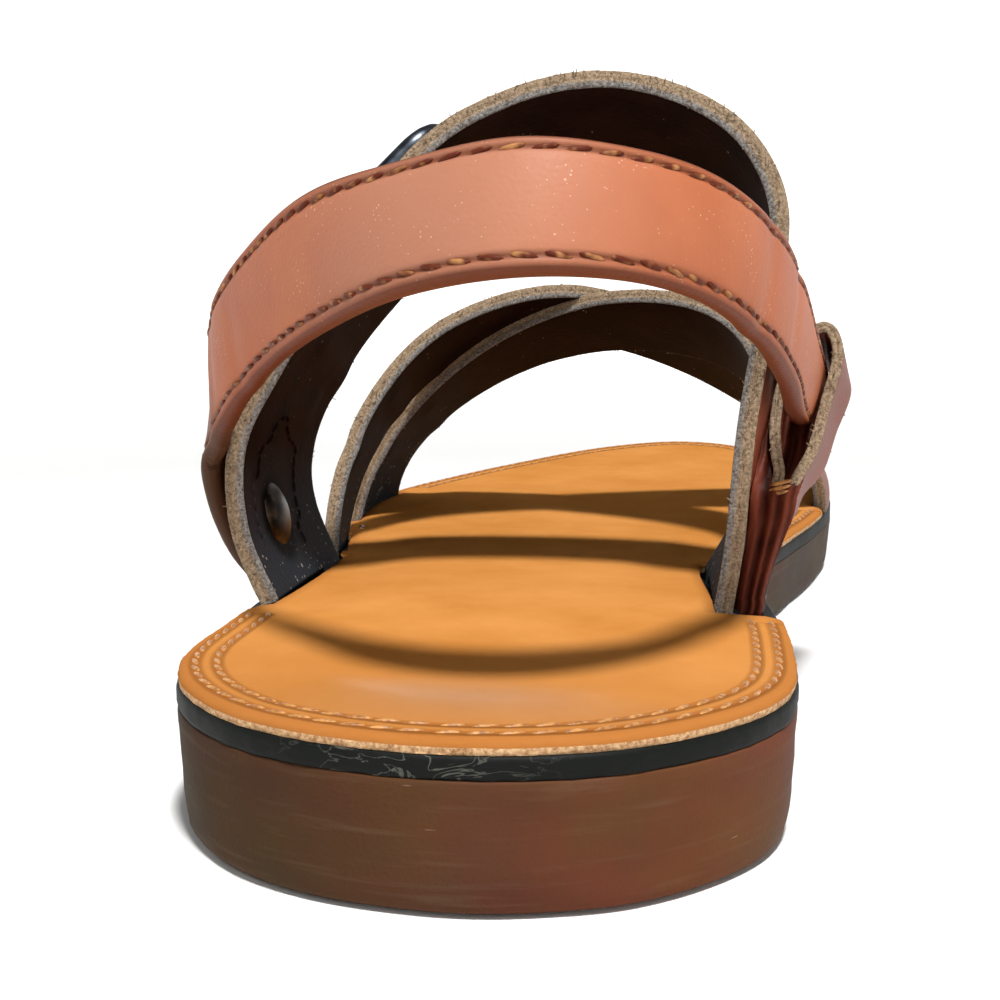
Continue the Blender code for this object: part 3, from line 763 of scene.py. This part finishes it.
def creased(grid, normal, creases):
    """Soft troughs pressed into a strap: a row holds share along and across of both ends, half width and depth."""
    rows, columns = grid.shape[:2]
    pressed = grid.copy()
    for along_a, across_a, along_b, across_b, width, depth in creases:
        start = grid[round(along_a * (rows - 1)), round(across_a * (columns - 1))]
        end = grid[round(along_b * (rows - 1)), round(across_b * (columns - 1))]
        span = end - start
        t = np.clip((grid - start) @ span / (span @ span), 0, 1)
        away = np.linalg.norm(grid - start - t[..., None] * span, axis=2)
        pressed -= normal * (depth * np.exp(-(away / width) ** 2))[..., None]
    return pressed


# Corrected-grain cowhide: red-brown, semi-gloss, with close pores 0.6 mm apart and softer clouds of colour, and
# darker where the loop stem's mark says so: darker overall, with painted shade in the troughs between the stem's
# ridges and where it lies in behind the loop's walls.
strap_leather, tree, shader, spot = new_material("red-brown grain leather")
clouds = soft_noise(tree, spot, 90.0, Detail=4.0)
pores = cells(tree, spot, 1600.0, "SMOOTH_F1")
share = ramp(tree, clouds, 0.3, 0.7)
brown = blend(tree, share, "#733626", "#85432f")
# The stem's mark: painted shade in its folds and where it lies in behind the walls, over a darker ground.
fold_shade_mark = mark(tree, "darkened_by_mark")
darkened_by_mark = blend(tree, fold_shade_mark, brown, "#2c0f07")
bump = bumps(tree, pores, 0.25, 0.0003)
gloss = ramp(tree, clouds, first=0.34, last=0.5)
plug(tree, shader, Base_Color=darkened_by_mark, Roughness=gloss, Normal=bump, Specular_IOR_Level=0.06)

# Raw strap edge: tan fibre of the outer leather, a dark glue line and grey-blue fibre of the lining, told apart
# by the mark depth. Fibres are drawn 0.4 mm wide to show.
raw_edge, tree, shader, spot = new_material("raw two-layer leather edge")
fibres = soft_noise(tree, spot, 2600.0, Detail=4.0, Roughness=0.75)
depth_at = mark(tree, "depth")
ragged = maths(tree, "MULTIPLY_ADD", fibres, 1.2, depth_at)
inner_share = ramp(tree, ragged, 2.1, 2.5)
tan_share = ramp(tree, fibres, 0.35, 0.65)
tan = blend(tree, tan_share, "#62503c", "#b39a7c")
grey = blend(tree, tan_share, "#3d3a3a", "#9a948d")
both = blend(tree, inner_share, tan, grey)
bump = bumps(tree, fibres, 0.9, 0.0004)
plug(tree, shader, Base_Color=both, Normal=bump, Roughness=0.92)

# Dark lining leather: near-black brown, dull, a little bluer and with pale glue specks low down at the sole, and
# near black round the rivet as painted shade of the recess it sits in.
lining, tree, shader, spot = new_material("dark lining leather")
clouds = soft_noise(tree, spot, 120.0, Detail=5.0, Roughness=0.6)
share = ramp(tree, clouds, 0.3, 0.7)
brown = blend(tree, share, "#140907", "#24120c")
apart = node(tree, "ShaderNodeSeparateXYZ", Vector=spot)
lowness = ramp(tree, apart.outputs["Z"], 0.019, 0.036, 0.85, 0.0)
blue = blend(tree, lowness, brown, "#272d33")
specks = cells(tree, spot, 900.0)
speck_sizes = soft_noise(tree, spot, 300.0)
speck_reach = maths(tree, "MULTIPLY_ADD", speck_sizes, -0.9, specks)
few_above = ramp(tree, apart.outputs["Z"], 0.02, 0.034, -0.07, 0.1)
rarer = maths(tree, "ADD", speck_reach, few_above)
speck = ramp(tree, rarer, -0.42, -0.36, 0.8, 0.0)
speckled = blend(tree, speck, blue, "#9c958c")
# Painted shade: near black round the rivet, where it sits in a recess.
from_rivet = far_from(tree, spot, (-0.0327, -0.0605, 0.0265))
pressed = ramp(tree, from_rivet, 0.0055, 0.0072, 0.9, 0.0)
blackened = blend(tree, pressed, speckled, "#050303")
nap = soft_noise(tree, spot, 1300.0, Detail=3.0)
bump = bumps(tree, nap, 0.35, 0.0003)
plug(tree, shader, Base_Color=blackened, Normal=bump, Roughness=0.65, Specular_IOR_Level=0.03)


def stand_on_midsole(grid):
    for end in (0, -1):
        grid[end, :, 2] = midsole_top(grid[end, :, 1]) + GAP / 2


FIBRES_PER_MM = 2.4
FIBRE = (0.9, 0.13, 0.13)
rng = np.random.default_rng(39)


def fray(name, grid, normal, thickness):
    """Loose fibres that stand off both raw edges of a strap at random."""
    places, along, out = [], [], []
    for edge, next_in in ((0, 1), (-1, -2)):
        line = grid[:, edge]
        travelled = travel(line)
        count = int(travelled[-1] * FIBRES_PER_MM)
        row = np.interp(rng.uniform(0, travelled[-1], count), travelled, np.arange(len(line))).astype(int)
        across = unit(line - grid[:, next_in])[row]
        depth = rng.uniform(0.05, thickness - 0.05, count)[:, None]
        lean = unit(across + rng.normal(0, 0.55, (count, 3)))
        places.append(line[row] - normal[row, edge] * depth + lean * 0.2)
        along.append(lean)
        out.append(normal[row, edge])
    return sew(name, np.concatenate(places), np.concatenate(along), np.concatenate(out), FIBRE, raw_edge)


INSTEP_CREASES = [
    (0.16, 0.1, 0.19, 0.7, 3.2, 0.5), (0.24, 0.35, 0.22, 1.0, 2.8, 0.4), (0.72, 0.1, 0.70, 0.75, 3.2, 0.5),
    (0.81, 0.25, 0.83, 1.0, 2.8, 0.4), (0.90, 0.1, 0.88, 0.6, 2.6, 0.35),
]
instep_grid = between_edges(smooth_rows(INSTEP, ROW_STEPS), 17)
stand_on_midsole(instep_grid)
instep_grid = creased(instep_grid, normals_of(instep_grid), INSTEP_CREASES)
instep_normal = normals_of(instep_grid)
STRAP_MATERIALS = [strap_leather, raw_edge, lining]
section, zones = raw_section(33, STRAP)
instep_strap = add_strap("instep_band", instep_grid, upright_ends(instep_normal), section, zones,
                         STRAP_MATERIALS)
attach(instep_strap, "root")
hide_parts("instep_strap")
fray("instep_fibres", instep_grid, instep_normal, STRAP)


def on_instep(side, y, z):
    """The place on the instep strap's outer face nearest to this y and z, and the normal there."""
    half = len(instep_grid) // 2
    chosen = slice(0, half) if side < 0 else slice(half, None)
    places = instep_grid[chosen].reshape(-1, 3)
    k = np.hypot(places[:, 1] - y, places[:, 2] - z).argmin()
    return places[k], instep_normal[chosen].reshape(-1, 3)[k]


def over_instep(side, y, z, height):
    """A place at this y and z, moved outward until it stands so far off the instep strap."""
    place, normal = on_instep(side, y, z)
    return np.array([place[0] + side * height / max(abs(normal[0]), 0.5), y, z])


# Cross straps: two raw-edged straps of the same two leathers that cross over the forefoot and are joined
# there, the upper one sewn down along its two edges.
EDGE_MARGIN = 0.4
# y, ridge x, ridge z, outer bulge, inner bulge of the space that they lie on
FOREFOOT = [
    (100.0, 2.0, 75.5, 2.0, 7.0), (125.0, 0.0, 63.4, -1.0, 7.0), (145.0, -3.0, 54.0, -2.4, 5.5),
    (168.0, -4.0, 45.0, -2.6, 3.5), (190.0, -4.0, 37.0, -1.0, 2.0), (212.0, -3.0, 31.0, 0.5, 1.0),
]
# share of the way from the outer to the inner side, back edge y, front edge y, lift
UNDER_STRAP = [
    (0.00, 150.0, 184.0, 0.0), (0.10, 150.0, 180.5, 0.0), (0.20, 150.6, 177.0, 0.0), (0.30, 150.0, 174.0, 0.0),
    (0.40, 148.0, 171.0, 0.0), (0.50, 144.0, 168.0, 0.0), (0.60, 137.5, 162.8, 0.0), (0.70, 129.5, 155.2, 0.0),
    (0.80, 121.5, 146.5, 0.0), (0.90, 113.0, 138.0, 0.0), (1.00, 106.0, 131.0, 0.0),
]
OVER_STRAP = [
    (0.00, 108.0, 128.0, 0.0), (0.09, 116.5, 136.5, 0.2), (0.18, 125.0, 144.5, 0.9), (0.27, 132.5, 152.0, 1.8),
    (0.36, 139.0, 159.5, 2.0), (0.50, 146.0, 170.5, 2.0), (0.60, 153.0, 180.0, 2.0), (0.70, 160.5, 189.0, 1.4),
    (0.80, 168.5, 197.0, 0.6), (0.90, 177.0, 204.0, 0.1), (1.00, 184.0, 209.0, 0.0),
]
forefoot = np.array(FOREFOOT)
ridge_x, ridge_z, outer_bulge, inner_bulge = [curve_through(forefoot[:, 0], c) for c in forefoot[:, 1:].T]


def forefoot_place(share, y):
    angle = math.pi * share
    low = midsole_top(y) + GAP / 2
    side = -1 if share < 0.5 else 1
    edge = (-outer_side(station(y)) if side < 0 else inner_side(station(y))) - side * (EDGE_MARGIN + STRAP)
    bulge = outer_bulge(y) if side < 0 else inner_bulge(y)
    x = ridge_x(y) + (edge - ridge_x(y)) * abs(math.cos(angle)) ** 1.05 - bulge * math.sin(2 * angle)
    z = low + (ridge_z(y) - low) * max(math.sin(angle), 0) ** 1.05
    return (float(x), float(y), float(z))


CROSS_CREASES = [
    (0.12, 0.1, 0.15, 0.85, 2.6, 0.4), (0.21, 0.3, 0.20, 1.0, 2.4, 0.3), (0.84, 0.0, 0.86, 0.8, 2.6, 0.4),
]


def cross_strap(name, table):
    rows = smooth_rows(table, ROW_STEPS)
    columns = 13
    inner = np.array([[forefoot_place(share, back + (front - back) * c / (columns - 1)) for c in range(columns)]
                      for share, back, front, lift in rows])
    normal = upright_ends(normals_of(inner))
    outer = creased(inner + (rows[:, 3] + STRAP)[:, None, None] * normal, normal, CROSS_CREASES)
    section, zones = raw_section(25, STRAP)
    return add_strap(name, outer, normal, section, zones, STRAP_MATERIALS), outer, normal


under_strap, under_grid, under_normal = cross_strap("cross_strap_under", UNDER_STRAP)
over_strap, over_grid, over_normal = cross_strap("cross_strap_over", OVER_STRAP)
for strap in (under_strap, over_strap):
    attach(strap, "root")
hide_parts("cross_straps")
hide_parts("cross_straps")
fray("cross_under_fibres", under_grid, under_normal, STRAP)
fray("cross_over_fibres", over_grid, over_normal, STRAP)

# Waxed brown thread: red-brown, going over to gold in places 1.4 mm long, which are painted glints, laid in dents
# of the leather.
brown_thread, tree, shader, twist = two_tone("waxed brown thread", "#5a2412", "#c78e58", 700.0, 0.5, 0.85,
                                             Detail=1.0)
plug(tree, shader, Normal=bumps(tree, twist, 0.4, 0.0002), Roughness=0.5, Specular_IOR_Level=0.15)


def sew_along(name, grid, normal, share, depth, pitch, sizes, thread, keep=(0.0, 1.0), slant=0.25):
    """Stitches along a strap at a share of its width, between two shares of its length."""
    line, raised = lofted(grid, normal, [(share, 0.0, depth), (share, 0.0, depth - 1.0)]).transpose(1, 0, 2)
    first, last = int(keep[0] * (len(line) - 1)), int(keep[1] * (len(line) - 1)) + 1
    line, raised = line[first:last], raised[first:last]
    places, ahead = spaced(line, pitch)
    travelled = travel(line)
    at = np.arange(pitch / 2, travelled[-1], pitch)
    out = unit(np.stack([np.interp(at, travelled, c) for c in (raised - line).T], axis=1))
    return sew(name, places, ahead + slant * np.cross(out, ahead), out, sizes, thread)


CROSSING = (0.3, 0.66)
for count, share in enumerate((0.09, 0.91)):
    sew_along(f"cross_strap_stitches_{count + 1}", over_grid, over_normal, share, 0.05, 3.0, (2.4, 0.7, 0.6),
              brown_thread, CROSSING)

# Heel strap: a doubled strap of smooth rust-brown leather with turned, burnished edges and a sewn row along
# each, riveted to the instep strap on the outer side and threaded through the loop on the inner side.
HEEL_STRAP = 2.8
# lower edge x, y, z and upper edge x, y, z of the outer face
HEEL = [
    (-42.6, 56.8, 38.0, -46.0, 66.5, 51.4), (-37.2, 48.5, 43.4, -40.4, 53.0, 57.4),
    (-28.2, 37.0, 49.6, -31.6, 39.5, 63.2), (-18.0, 23.0, 54.5, -19.6, 25.0, 69.2),
    (-6.0, 10.6, 59.0, -6.6, 15.6, 72.2), (6.0, 6.2, 61.1, 6.0, 12.0, 74.2),
    (17.0, 10.3, 60.7, 17.0, 15.2, 73.2), (25.2, 21.0, 57.8, 25.4, 22.5, 70.5),
    (30.4, 36.5, 52.9, 31.0, 38.0, 65.9), (33.2, 53.0, 47.4, 33.8, 55.0, 60.2),
]
# lower edge y, z, upper edge y, z and height over the instep strap
HEEL_OUTER_END = [
    (66.5, 18.6, 77.0, 18.4, 3.3), (63.0, 23.0, 80.5, 23.0, 3.3), (60.5, 29.0, 81.0, 32.0, 3.6),
    (58.9, 36.0, 76.5, 42.5, 4.2),
]
HEEL_INNER_END = [
    (68.0, 42.5, 70.5, 53.4, 5.6), (82.0, 39.0, 85.5, 48.2, 5.6), (93.0, 35.6, 97.0, 43.6, 5.4),
]

# Smooth calf leather: rust brown, paler and greyer round the middle of the back as a painted sheen, with tiny pale
# grain specks in cells 0.7 mm apart and a soft wide shine. Its edges are darker by the mark depth, burnished and
# partly painted shade where they turn under, and its end by the rivet is darker as painted shade.
heel_leather, tree, shader, spot = new_material("smooth rust leather")
clouds = soft_noise(tree, spot, 60.0, Detail=4.0, Roughness=0.55)
share = ramp(tree, clouds, 0.3, 0.7)
rust = blend(tree, share, "#a35634", "#b66841")
# Painted sheen: paler and greyer round the middle of the back.
from_middle = far_from(tree, spot, (0.004, -0.122, 0.068))
painted_sheen = ramp(tree, from_middle, 0.004, 0.034, 0.85, 0.0, shape="SMOOTHSTEP")
with_painted_sheen = blend(tree, painted_sheen, rust, "#a7735c")
dots = cells(tree, spot, 1500.0)
patches = soft_noise(tree, spot, 160.0, Detail=2.0)
reach = maths(tree, "MULTIPLY_ADD", patches, -0.5, dots)
dot = ramp(tree, reach, -0.2, -0.14, 0.4, 0.0)
dotted = blend(tree, dot, with_painted_sheen, "#e3c8b4")
depth_at = mark(tree, "depth")
# Edges darker: burnished, and partly painted shade where they turn under.
burnish_and_shade = ramp(tree, depth_at, 0.02, 0.4, last=0.9)
burnished_and_shaded = blend(tree, burnish_and_shade, dotted, "#5f2c17")
# Painted shade on the strap's end by the rivet.
from_rivet = far_from(tree, spot, (-0.039, -0.066, 0.024))
rivet_end_shade = ramp(tree, from_rivet, 0.012, 0.03, 0.85, 0.0, shape="SMOOTHSTEP")
darkened = blend(tree, rivet_end_shade, burnished_and_shaded, "#43301f")
pores = cells(tree, spot, 2000.0, "SMOOTH_F1")
bump = bumps(tree, pores, 0.2, 0.0002)
gloss = ramp(tree, clouds, first=0.42, last=0.56)
plug(tree, shader, Base_Color=darkened, Roughness=gloss, Normal=bump, Specular_IOR_Level=0.15)

heel_rows = [(*over_instep(-1, a, b, h), *over_instep(-1, c, d, h)) for a, b, c, d, h in HEEL_OUTER_END]
heel_rows += HEEL
heel_rows += [(*over_instep(1, a, b, h), *over_instep(1, c, d, h)) for a, b, c, d, h in HEEL_INNER_END]
HEEL_CREASES = [
    (0.235, 0.0, 0.26, 0.7, 2.4, 0.4), (0.29, 0.3, 0.30, 1.0, 2.4, 0.3), (0.345, 0.0, 0.35, 0.6, 2.6, 0.25),
    (0.735, 0.0, 0.74, 0.8, 2.4, 0.3), (0.79, 0.3, 0.80, 1.0, 2.2, 0.35),
]
heel_grid = between_edges(smooth_rows(heel_rows, ROW_STEPS), 13)
BEND_ROWS = (40, 150)
BEND_REACH = 22
sharp = heel_grid.copy()
for r in range(*BEND_ROWS):
    reach = int(BEND_REACH * math.sin(math.pi * (r - BEND_ROWS[0]) / (BEND_ROWS[1] - BEND_ROWS[0])))
    heel_grid[r] = sharp[r - reach:r + reach + 1].mean(axis=0)
heel_grid = creased(heel_grid, normals_of(heel_grid), HEEL_CREASES)
heel_normal = normals_of(heel_grid)
SEAM_SHARE = 0.11
TURN_SHARE = 0.06


def edge_turn(near):
    """How far the leather has turned under at this share of the width from an edge."""
    return HEEL_STRAP / 2 * (1 - math.sqrt(1 - (1 - min(near / TURN_SHARE, 1)) ** 2))


def heel_depth(share):
    """Depth of the outer face: turned, bevelled edges, a dent along each sewn row and a slight crown between."""
    near = min(share, 1 - share)
    dent = 0.35 * math.exp(-((near - SEAM_SHARE) / 0.024) ** 2)
    crown = 0.25 * float(step(near, SEAM_SHARE, 0.4))
    bevel = 0.3 * max(0, 1 - near / SEAM_SHARE)
    return edge_turn(near) + bevel + dent - crown


OUTER_SHARES = [
    0.0, 0.004, 0.012, 0.024, 0.04, 0.055, 0.07, 0.085, 0.098, 0.11, 0.122, 0.135, 0.16, 0.21, 0.29, 0.4,
]
OUTER_SHARES = OUTER_SHARES + [0.5] + [1 - s for s in reversed(OUTER_SHARES)]
INNER_SHARES = [0.004, 0.012, 0.024, 0.04, 0.055, 0.1, 0.2, 0.35]
INNER_SHARES = [1 - s for s in INNER_SHARES] + INNER_SHARES[::-1]
section = [(s, 0.0, heel_depth(s)) for s in OUTER_SHARES]
section += [(s, 0.0, HEEL_STRAP - edge_turn(min(s, 1 - s))) for s in INNER_SHARES]
zones = [0] * len(section)
heel_strap = add_strap("heel_band", heel_grid, heel_normal, section, zones, [heel_leather])
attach(heel_strap, "root")
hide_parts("heel_strap")

HEEL_PITCH = 3.2
HEEL_STITCH = (2.8, 0.65, 0.75)
for count, share in enumerate((SEAM_SHARE, 1 - SEAM_SHARE)):
    sew_along(f"heel_strap_stitches_{count + 1}", heel_grid, heel_normal, share, 0.3, HEEL_PITCH, HEEL_STITCH,
              brown_thread, (0.02, 0.98), 0.2 if count else -0.2)

# Loop: one strip of the strap leather that rises from the sole, folds over the heel strap's inner end and
# comes down again behind it, with raw edges.
LOOP = 1.5
LOOP_WIDTH = 18.0
LOOP_STEPS = 16
# back edge y, z, drop to the front edge and height over the instep strap
LOOP_PATH = [
    (67.0, 16.6, 0.2, 3.0), (68.6, 21.0, 1.2, 3.1), (70.0, 25.5, 2.2, 3.8), (71.2, 29.5, 3.0, 5.0),
    (72.4, 33.4, 4.0, 5.4), (74.0, 37.5, 4.8, 6.7), (77.2, 43.5, 5.8, 7.2), (80.6, 50.0, 6.5, 7.0),
    (82.2, 53.4, 6.8, 4.6), (81.2, 51.2, 6.6, 1.9), (78.2, 46.0, 6.0, 1.2), (75.6, 41.0, 5.2, 1.2),
    (73.8, 37.2, 4.6, 2.1), (72.6, 34.2, 4.1, 3.2), (71.4, 30.5, 3.2, 2.9), (70.0, 25.5, 2.2, 1.9),
    (68.6, 21.0, 1.2, 1.2), (67.0, 16.6, 0.2, 1.1),
]
loop_rows = []
for y, z, drop, height in LOOP_PATH:
    loop_rows.append((*over_instep(1, y, z, height), *over_instep(1, y + LOOP_WIDTH, z - drop, height)))
loop_grid = between_edges(smooth_rows(loop_rows, LOOP_STEPS), 9)
stand_on_midsole(loop_grid)
loop_normal = upright_ends(normals_of(loop_grid))
section, zones = raw_section(17, LOOP)
zones = [0 if zone == 2 else zone for zone in zones]
loop_face = loop_grid + LOOP / 2 * loop_normal
strap_loop = add_strap("loop_strip", loop_face, loop_normal, section, zones, STRAP_MATERIALS)
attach(strap_loop, "root")
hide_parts("heel_strap_loop")
ring_rows = slice(5 * LOOP_STEPS, 12 * LOOP_STEPS)
fray("loop_fibres", loop_face[ring_rows], loop_normal[ring_rows], LOOP)

# Loop stem: below its ring the loop's two walls are held in one folded piece of the same leather, pressed into
# upright ridges round their back edges and glued down with them.
STEM_RIDGES = 3
STEM_AROUND = 31
# back y, z, reach over the instep strap and share of the bulge, below nought where it lies in behind the walls
STEM = [
    (67.0, 16.4, 4.05, 1.0), (68.6, 21.0, 4.15, 1.0), (70.0, 25.5, 4.85, 1.0), (71.2, 29.5, 6.0, 1.0),
    (72.2, 32.4, 6.3, 0.5), (73.0, 35.0, 6.6, -1.2), (74.6, 38.8, 6.9, -2.2), (76.0, 41.8, 7.0, -3.0),
]
# The stem's mark darkens it overall, more in the troughs between its ridges and most where it lies in behind the
# walls; the troughs and the tucked-in part are painted shade.
stem_rings, stem_fold_shade = [], []
for y, z, reach, bulge_share in smooth_rows(STEM, 8):
    near, far = over_instep(1, y, z, 0.1), over_instep(1, y, z, reach)
    for s in np.linspace(0, 1, STEM_AROUND):
        ridge = 0.3 * math.cos(2 * math.pi * STEM_RIDGES * s ** 1.3 + z / 6)
        bulge = 0.5 + 0.8 * math.sqrt(math.sin(math.pi * s)) + ridge
        stem_rings.append(near + (far - near) * s - (0, bulge * bulge_share, 0))
        stem_fold_shade.append(0.55 - ridge + 0.25 * noise.noise(Vector((9 * s, 0, z / 3))) + 0.4 * step(z, 32, 36))
    stem_rings += [far + (0, 5.0, 0), near + (0, 5.0, 0)]
    stem_fold_shade += [0.6, 0.6]
around = STEM_AROUND + 2
loop_stem = add_piece("loop_stem_fold", stem_rings, strap_faces(len(stem_rings) // around, around),
                      [strap_leather], marks={"darkened_by_mark": np.clip(stem_fold_shade, 0, 1)})
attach(loop_stem, "root")
tack_at = [over_instep(1, 72.3, z, 3.6) - (0, 1.0, 0) for z in (31.9, 32.6, 33.3)]
sew("loop_tack_stitches", tack_at, np.tile((1.0, -0.2, 0.3), (3, 1)), np.tile((0.0, -1.0, 0.0), (3, 1)),
    (3.2, 0.6, 0.6), gold_thread)

# Rivet: a turned two-cap rivet of blackened brass that holds the heel strap's outer end to the instep strap.
CAP_RADIUS = 4.7
SHANK_RADIUS = 1.7
RIVET_PLACE = (71.5, 26.5)
RIVET_GRIP = STRAP + 3.8

# Blackened brass: dark bronze with brighter worn clouds 2 mm wide.
dark_brass, tree, shader, wear = two_tone("blackened brass", "#2c2520", "#5c4c3d", 500.0, 0.4, 0.7, Detail=4.0)
plug(tree, shader, Roughness=ramp(tree, wear, first=0.25, last=0.5), Metallic=1.0)


def turned(profile, place, axis, count=48):
    """A solid turned round an axis, from rows of distance along it and radius."""
    axis = unit(axis)
    first = unit(np.cross(axis, (0, 0, 1)))
    second = np.cross(axis, first)
    angles = [2 * math.pi * k / count for k in range(count)]
    points = [place + axis * far + radius * (first * math.cos(a) + second * math.sin(a))
              for far, radius in profile for a in angles]
    last = range((len(profile) - 1) * count, len(profile) * count)
    return points, ring_faces(len(profile), count) + [tuple(reversed(range(count))), tuple(last)]


rivet_place, rivet_axis = on_instep(-1, *RIVET_PLACE)
inside = -STRAP - 0.1
outside = RIVET_GRIP - STRAP + 0.2
DOME = [
    (1.55, 0.3), (1.5, 1.2), (1.35, 2.1), (1.1, 3.0), (0.75, 3.8), (0.4, 4.35), (0.15, 4.6), (0.0, CAP_RADIUS),
]
profile = [(inside - rise, radius) for rise, radius in DOME]
profile += [(inside + 0.1, CAP_RADIUS - 0.2), (inside + 0.12, SHANK_RADIUS)]
profile += [(outside - 0.12, SHANK_RADIUS), (outside - 0.1, CAP_RADIUS - 0.2)]
profile += [(outside + rise, radius) for rise, radius in reversed(DOME)]
rivet = add_piece("rivet_caps", *turned(profile, rivet_place, rivet_axis), [dark_brass])
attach(rivet, "root")
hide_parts("strap_rivet")
# y, z of the seam that holds the heel strap's end, seen as dark thread on the lining round the rivet
END_SEAM = [
    (62.5, 24.0), (63.8, 31.0), (66.5, 37.0), (72.0, 41.5), (79.0, 38.0), (84.0, 34.0), (82.5, 26.0), (79.0, 21.0),
]
flat, ahead = spaced(smooth_rows(END_SEAM, 12), 2.2)
ends = [on_instep(-1, y, z) for y, z in flat]
places = np.array([place - (STRAP + 0.05) * normal for place, normal in ends])
sew("heel_strap_end_stitches", places, np.gradient(places, axis=0), [-normal for _, normal in ends],
    (1.9, 0.6, 0.6), lining)

# Buckle frame: a bent rod of gunmetal-plated steel, rounded at its corners, on the outer shoulder.
BUCKLE_ROW = 4.8
BUCKLE_ALONG = 22.0
BUCKLE_ACROSS = 30.0
BUCKLE_BAR = 3.0
BUCKLE_CORNER = 5.0
BUCKLE_SECTION = 16

# Gunmetal plating: blue-grey dark steel with brighter rubbed clouds 3 mm wide and soft blurred reflections.
gunmetal, tree, shader, wear = two_tone("gunmetal plating", "#3b4048", "#6d737b", 350.0, 0.45, 0.75, Detail=5.0)
plug(tree, shader, Roughness=ramp(tree, wear, first=0.22, last=0.48), Metallic=1.0)

middle_line = instep_grid[:, instep_grid.shape[1] // 2]
travelled = travel(middle_line)
buckle_start = np.interp(BUCKLE_ROW * ROW_STEPS, np.arange(len(travelled)), travelled)


def beside_buckle(along, across):
    """The place on the instep strap so far along and across from the buckle's middle, and the normal there."""
    row = np.interp(buckle_start + along, travelled, np.arange(len(travelled)))
    r = min(int(row), len(travelled) - 2)
    edge = instep_grid[r] + (instep_grid[r + 1] - instep_grid[r]) * (row - r)
    share = 0.5 + across / np.linalg.norm(edge[-1] - edge[0])
    place = edge[0] + (edge[-1] - edge[0]) * share
    return place, instep_normal[r, int(round(share * (instep_grid.shape[1] - 1)))]


buckle_place, buckle_normal = beside_buckle(0, 0)
ahead = beside_buckle(4, 0)[0] - beside_buckle(-4, 0)[0]
ahead = unit(ahead - buckle_normal * (ahead @ buckle_normal))
aside = np.cross(buckle_normal, ahead)
path = []
for k, (u, v) in enumerate([(1, 1), (-1, 1), (-1, -1), (1, -1)]):
    for i in range(13):
        angle = math.pi / 2 * (k + i / 12)
        path.append((u * ((BUCKLE_ALONG - BUCKLE_BAR) / 2 - BUCKLE_CORNER) + BUCKLE_CORNER * math.cos(angle),
                     v * ((BUCKLE_ACROSS - BUCKLE_BAR) / 2 - BUCKLE_CORNER) + BUCKLE_CORNER * math.sin(angle)))
path = np.array(path)
points, faces = [], []
for k, (u, v) in enumerate(path):
    onward = path[(k + 1) % len(path)] - path[k - 1]
    outward = unit(np.array([onward[1], -onward[0]]))
    centre = buckle_place + buckle_normal * (GAP + BUCKLE_BAR / 2 + 0.1) + ahead * u + aside * v
    out = ahead * outward[0] + aside * outward[1]
    here, next_ring = k * BUCKLE_SECTION, (k + 1) % len(path) * BUCKLE_SECTION
    for i in range(BUCKLE_SECTION):
        angle = 2 * math.pi * i / BUCKLE_SECTION
        points.append(centre + BUCKLE_BAR / 2 * (out * math.cos(angle) + buckle_normal * math.sin(angle)))
        j = (i + 1) % BUCKLE_SECTION
        faces.append((here + i, next_ring + i, next_ring + j, here + j))
buckle = add_piece("buckle_rod", points, faces, [gunmetal])
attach(buckle, "root")
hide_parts("buckle_frame")

# Buckle tab: a short strip of the strap leather that lies on the instep strap and goes over the buckle's lower
# bar, sewn on each side of it.
TAB_WIDTH = 16.0
TAB_START = -25.0
TAB_END = 2.0
TAB_THICKNESS = 1.6
TAB_RISE = 5.2
tab_grid = np.empty((109, 9, 3))
bar_at = -(BUCKLE_ALONG - BUCKLE_BAR) / 2
for r, far in enumerate(np.linspace(TAB_START, TAB_END, len(tab_grid))):
    rise = step(far, bar_at - 7, bar_at - 2.2) * (1 - step(far, bar_at + 2.2, bar_at + 7))
    for c, across in enumerate(np.linspace(-TAB_WIDTH / 2, TAB_WIDTH / 2, tab_grid.shape[1])):
        place, normal = beside_buckle(far, across)
        tab_grid[r, c] = place + normal * (0.05 + TAB_RISE * rise)
tab_normal = normals_of(tab_grid)
section, zones = raw_section(17, TAB_THICKNESS)
zones = [0 if zone == 2 else zone for zone in zones]
tab_face = tab_grid + TAB_THICKNESS * tab_normal
buckle_tab = add_strap("buckle_tab_strip", tab_face, tab_normal, section, zones, STRAP_MATERIALS)
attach(buckle_tab, "root")
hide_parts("buckle_tab")
for count, share in enumerate((0.14, 0.86)):
    sew_along(f"buckle_tab_stitches_{count + 1}", tab_face, tab_normal, share, 0.1, 2.6, (2.0, 0.6, 0.5),
              brown_thread, (0.04, 0.4))
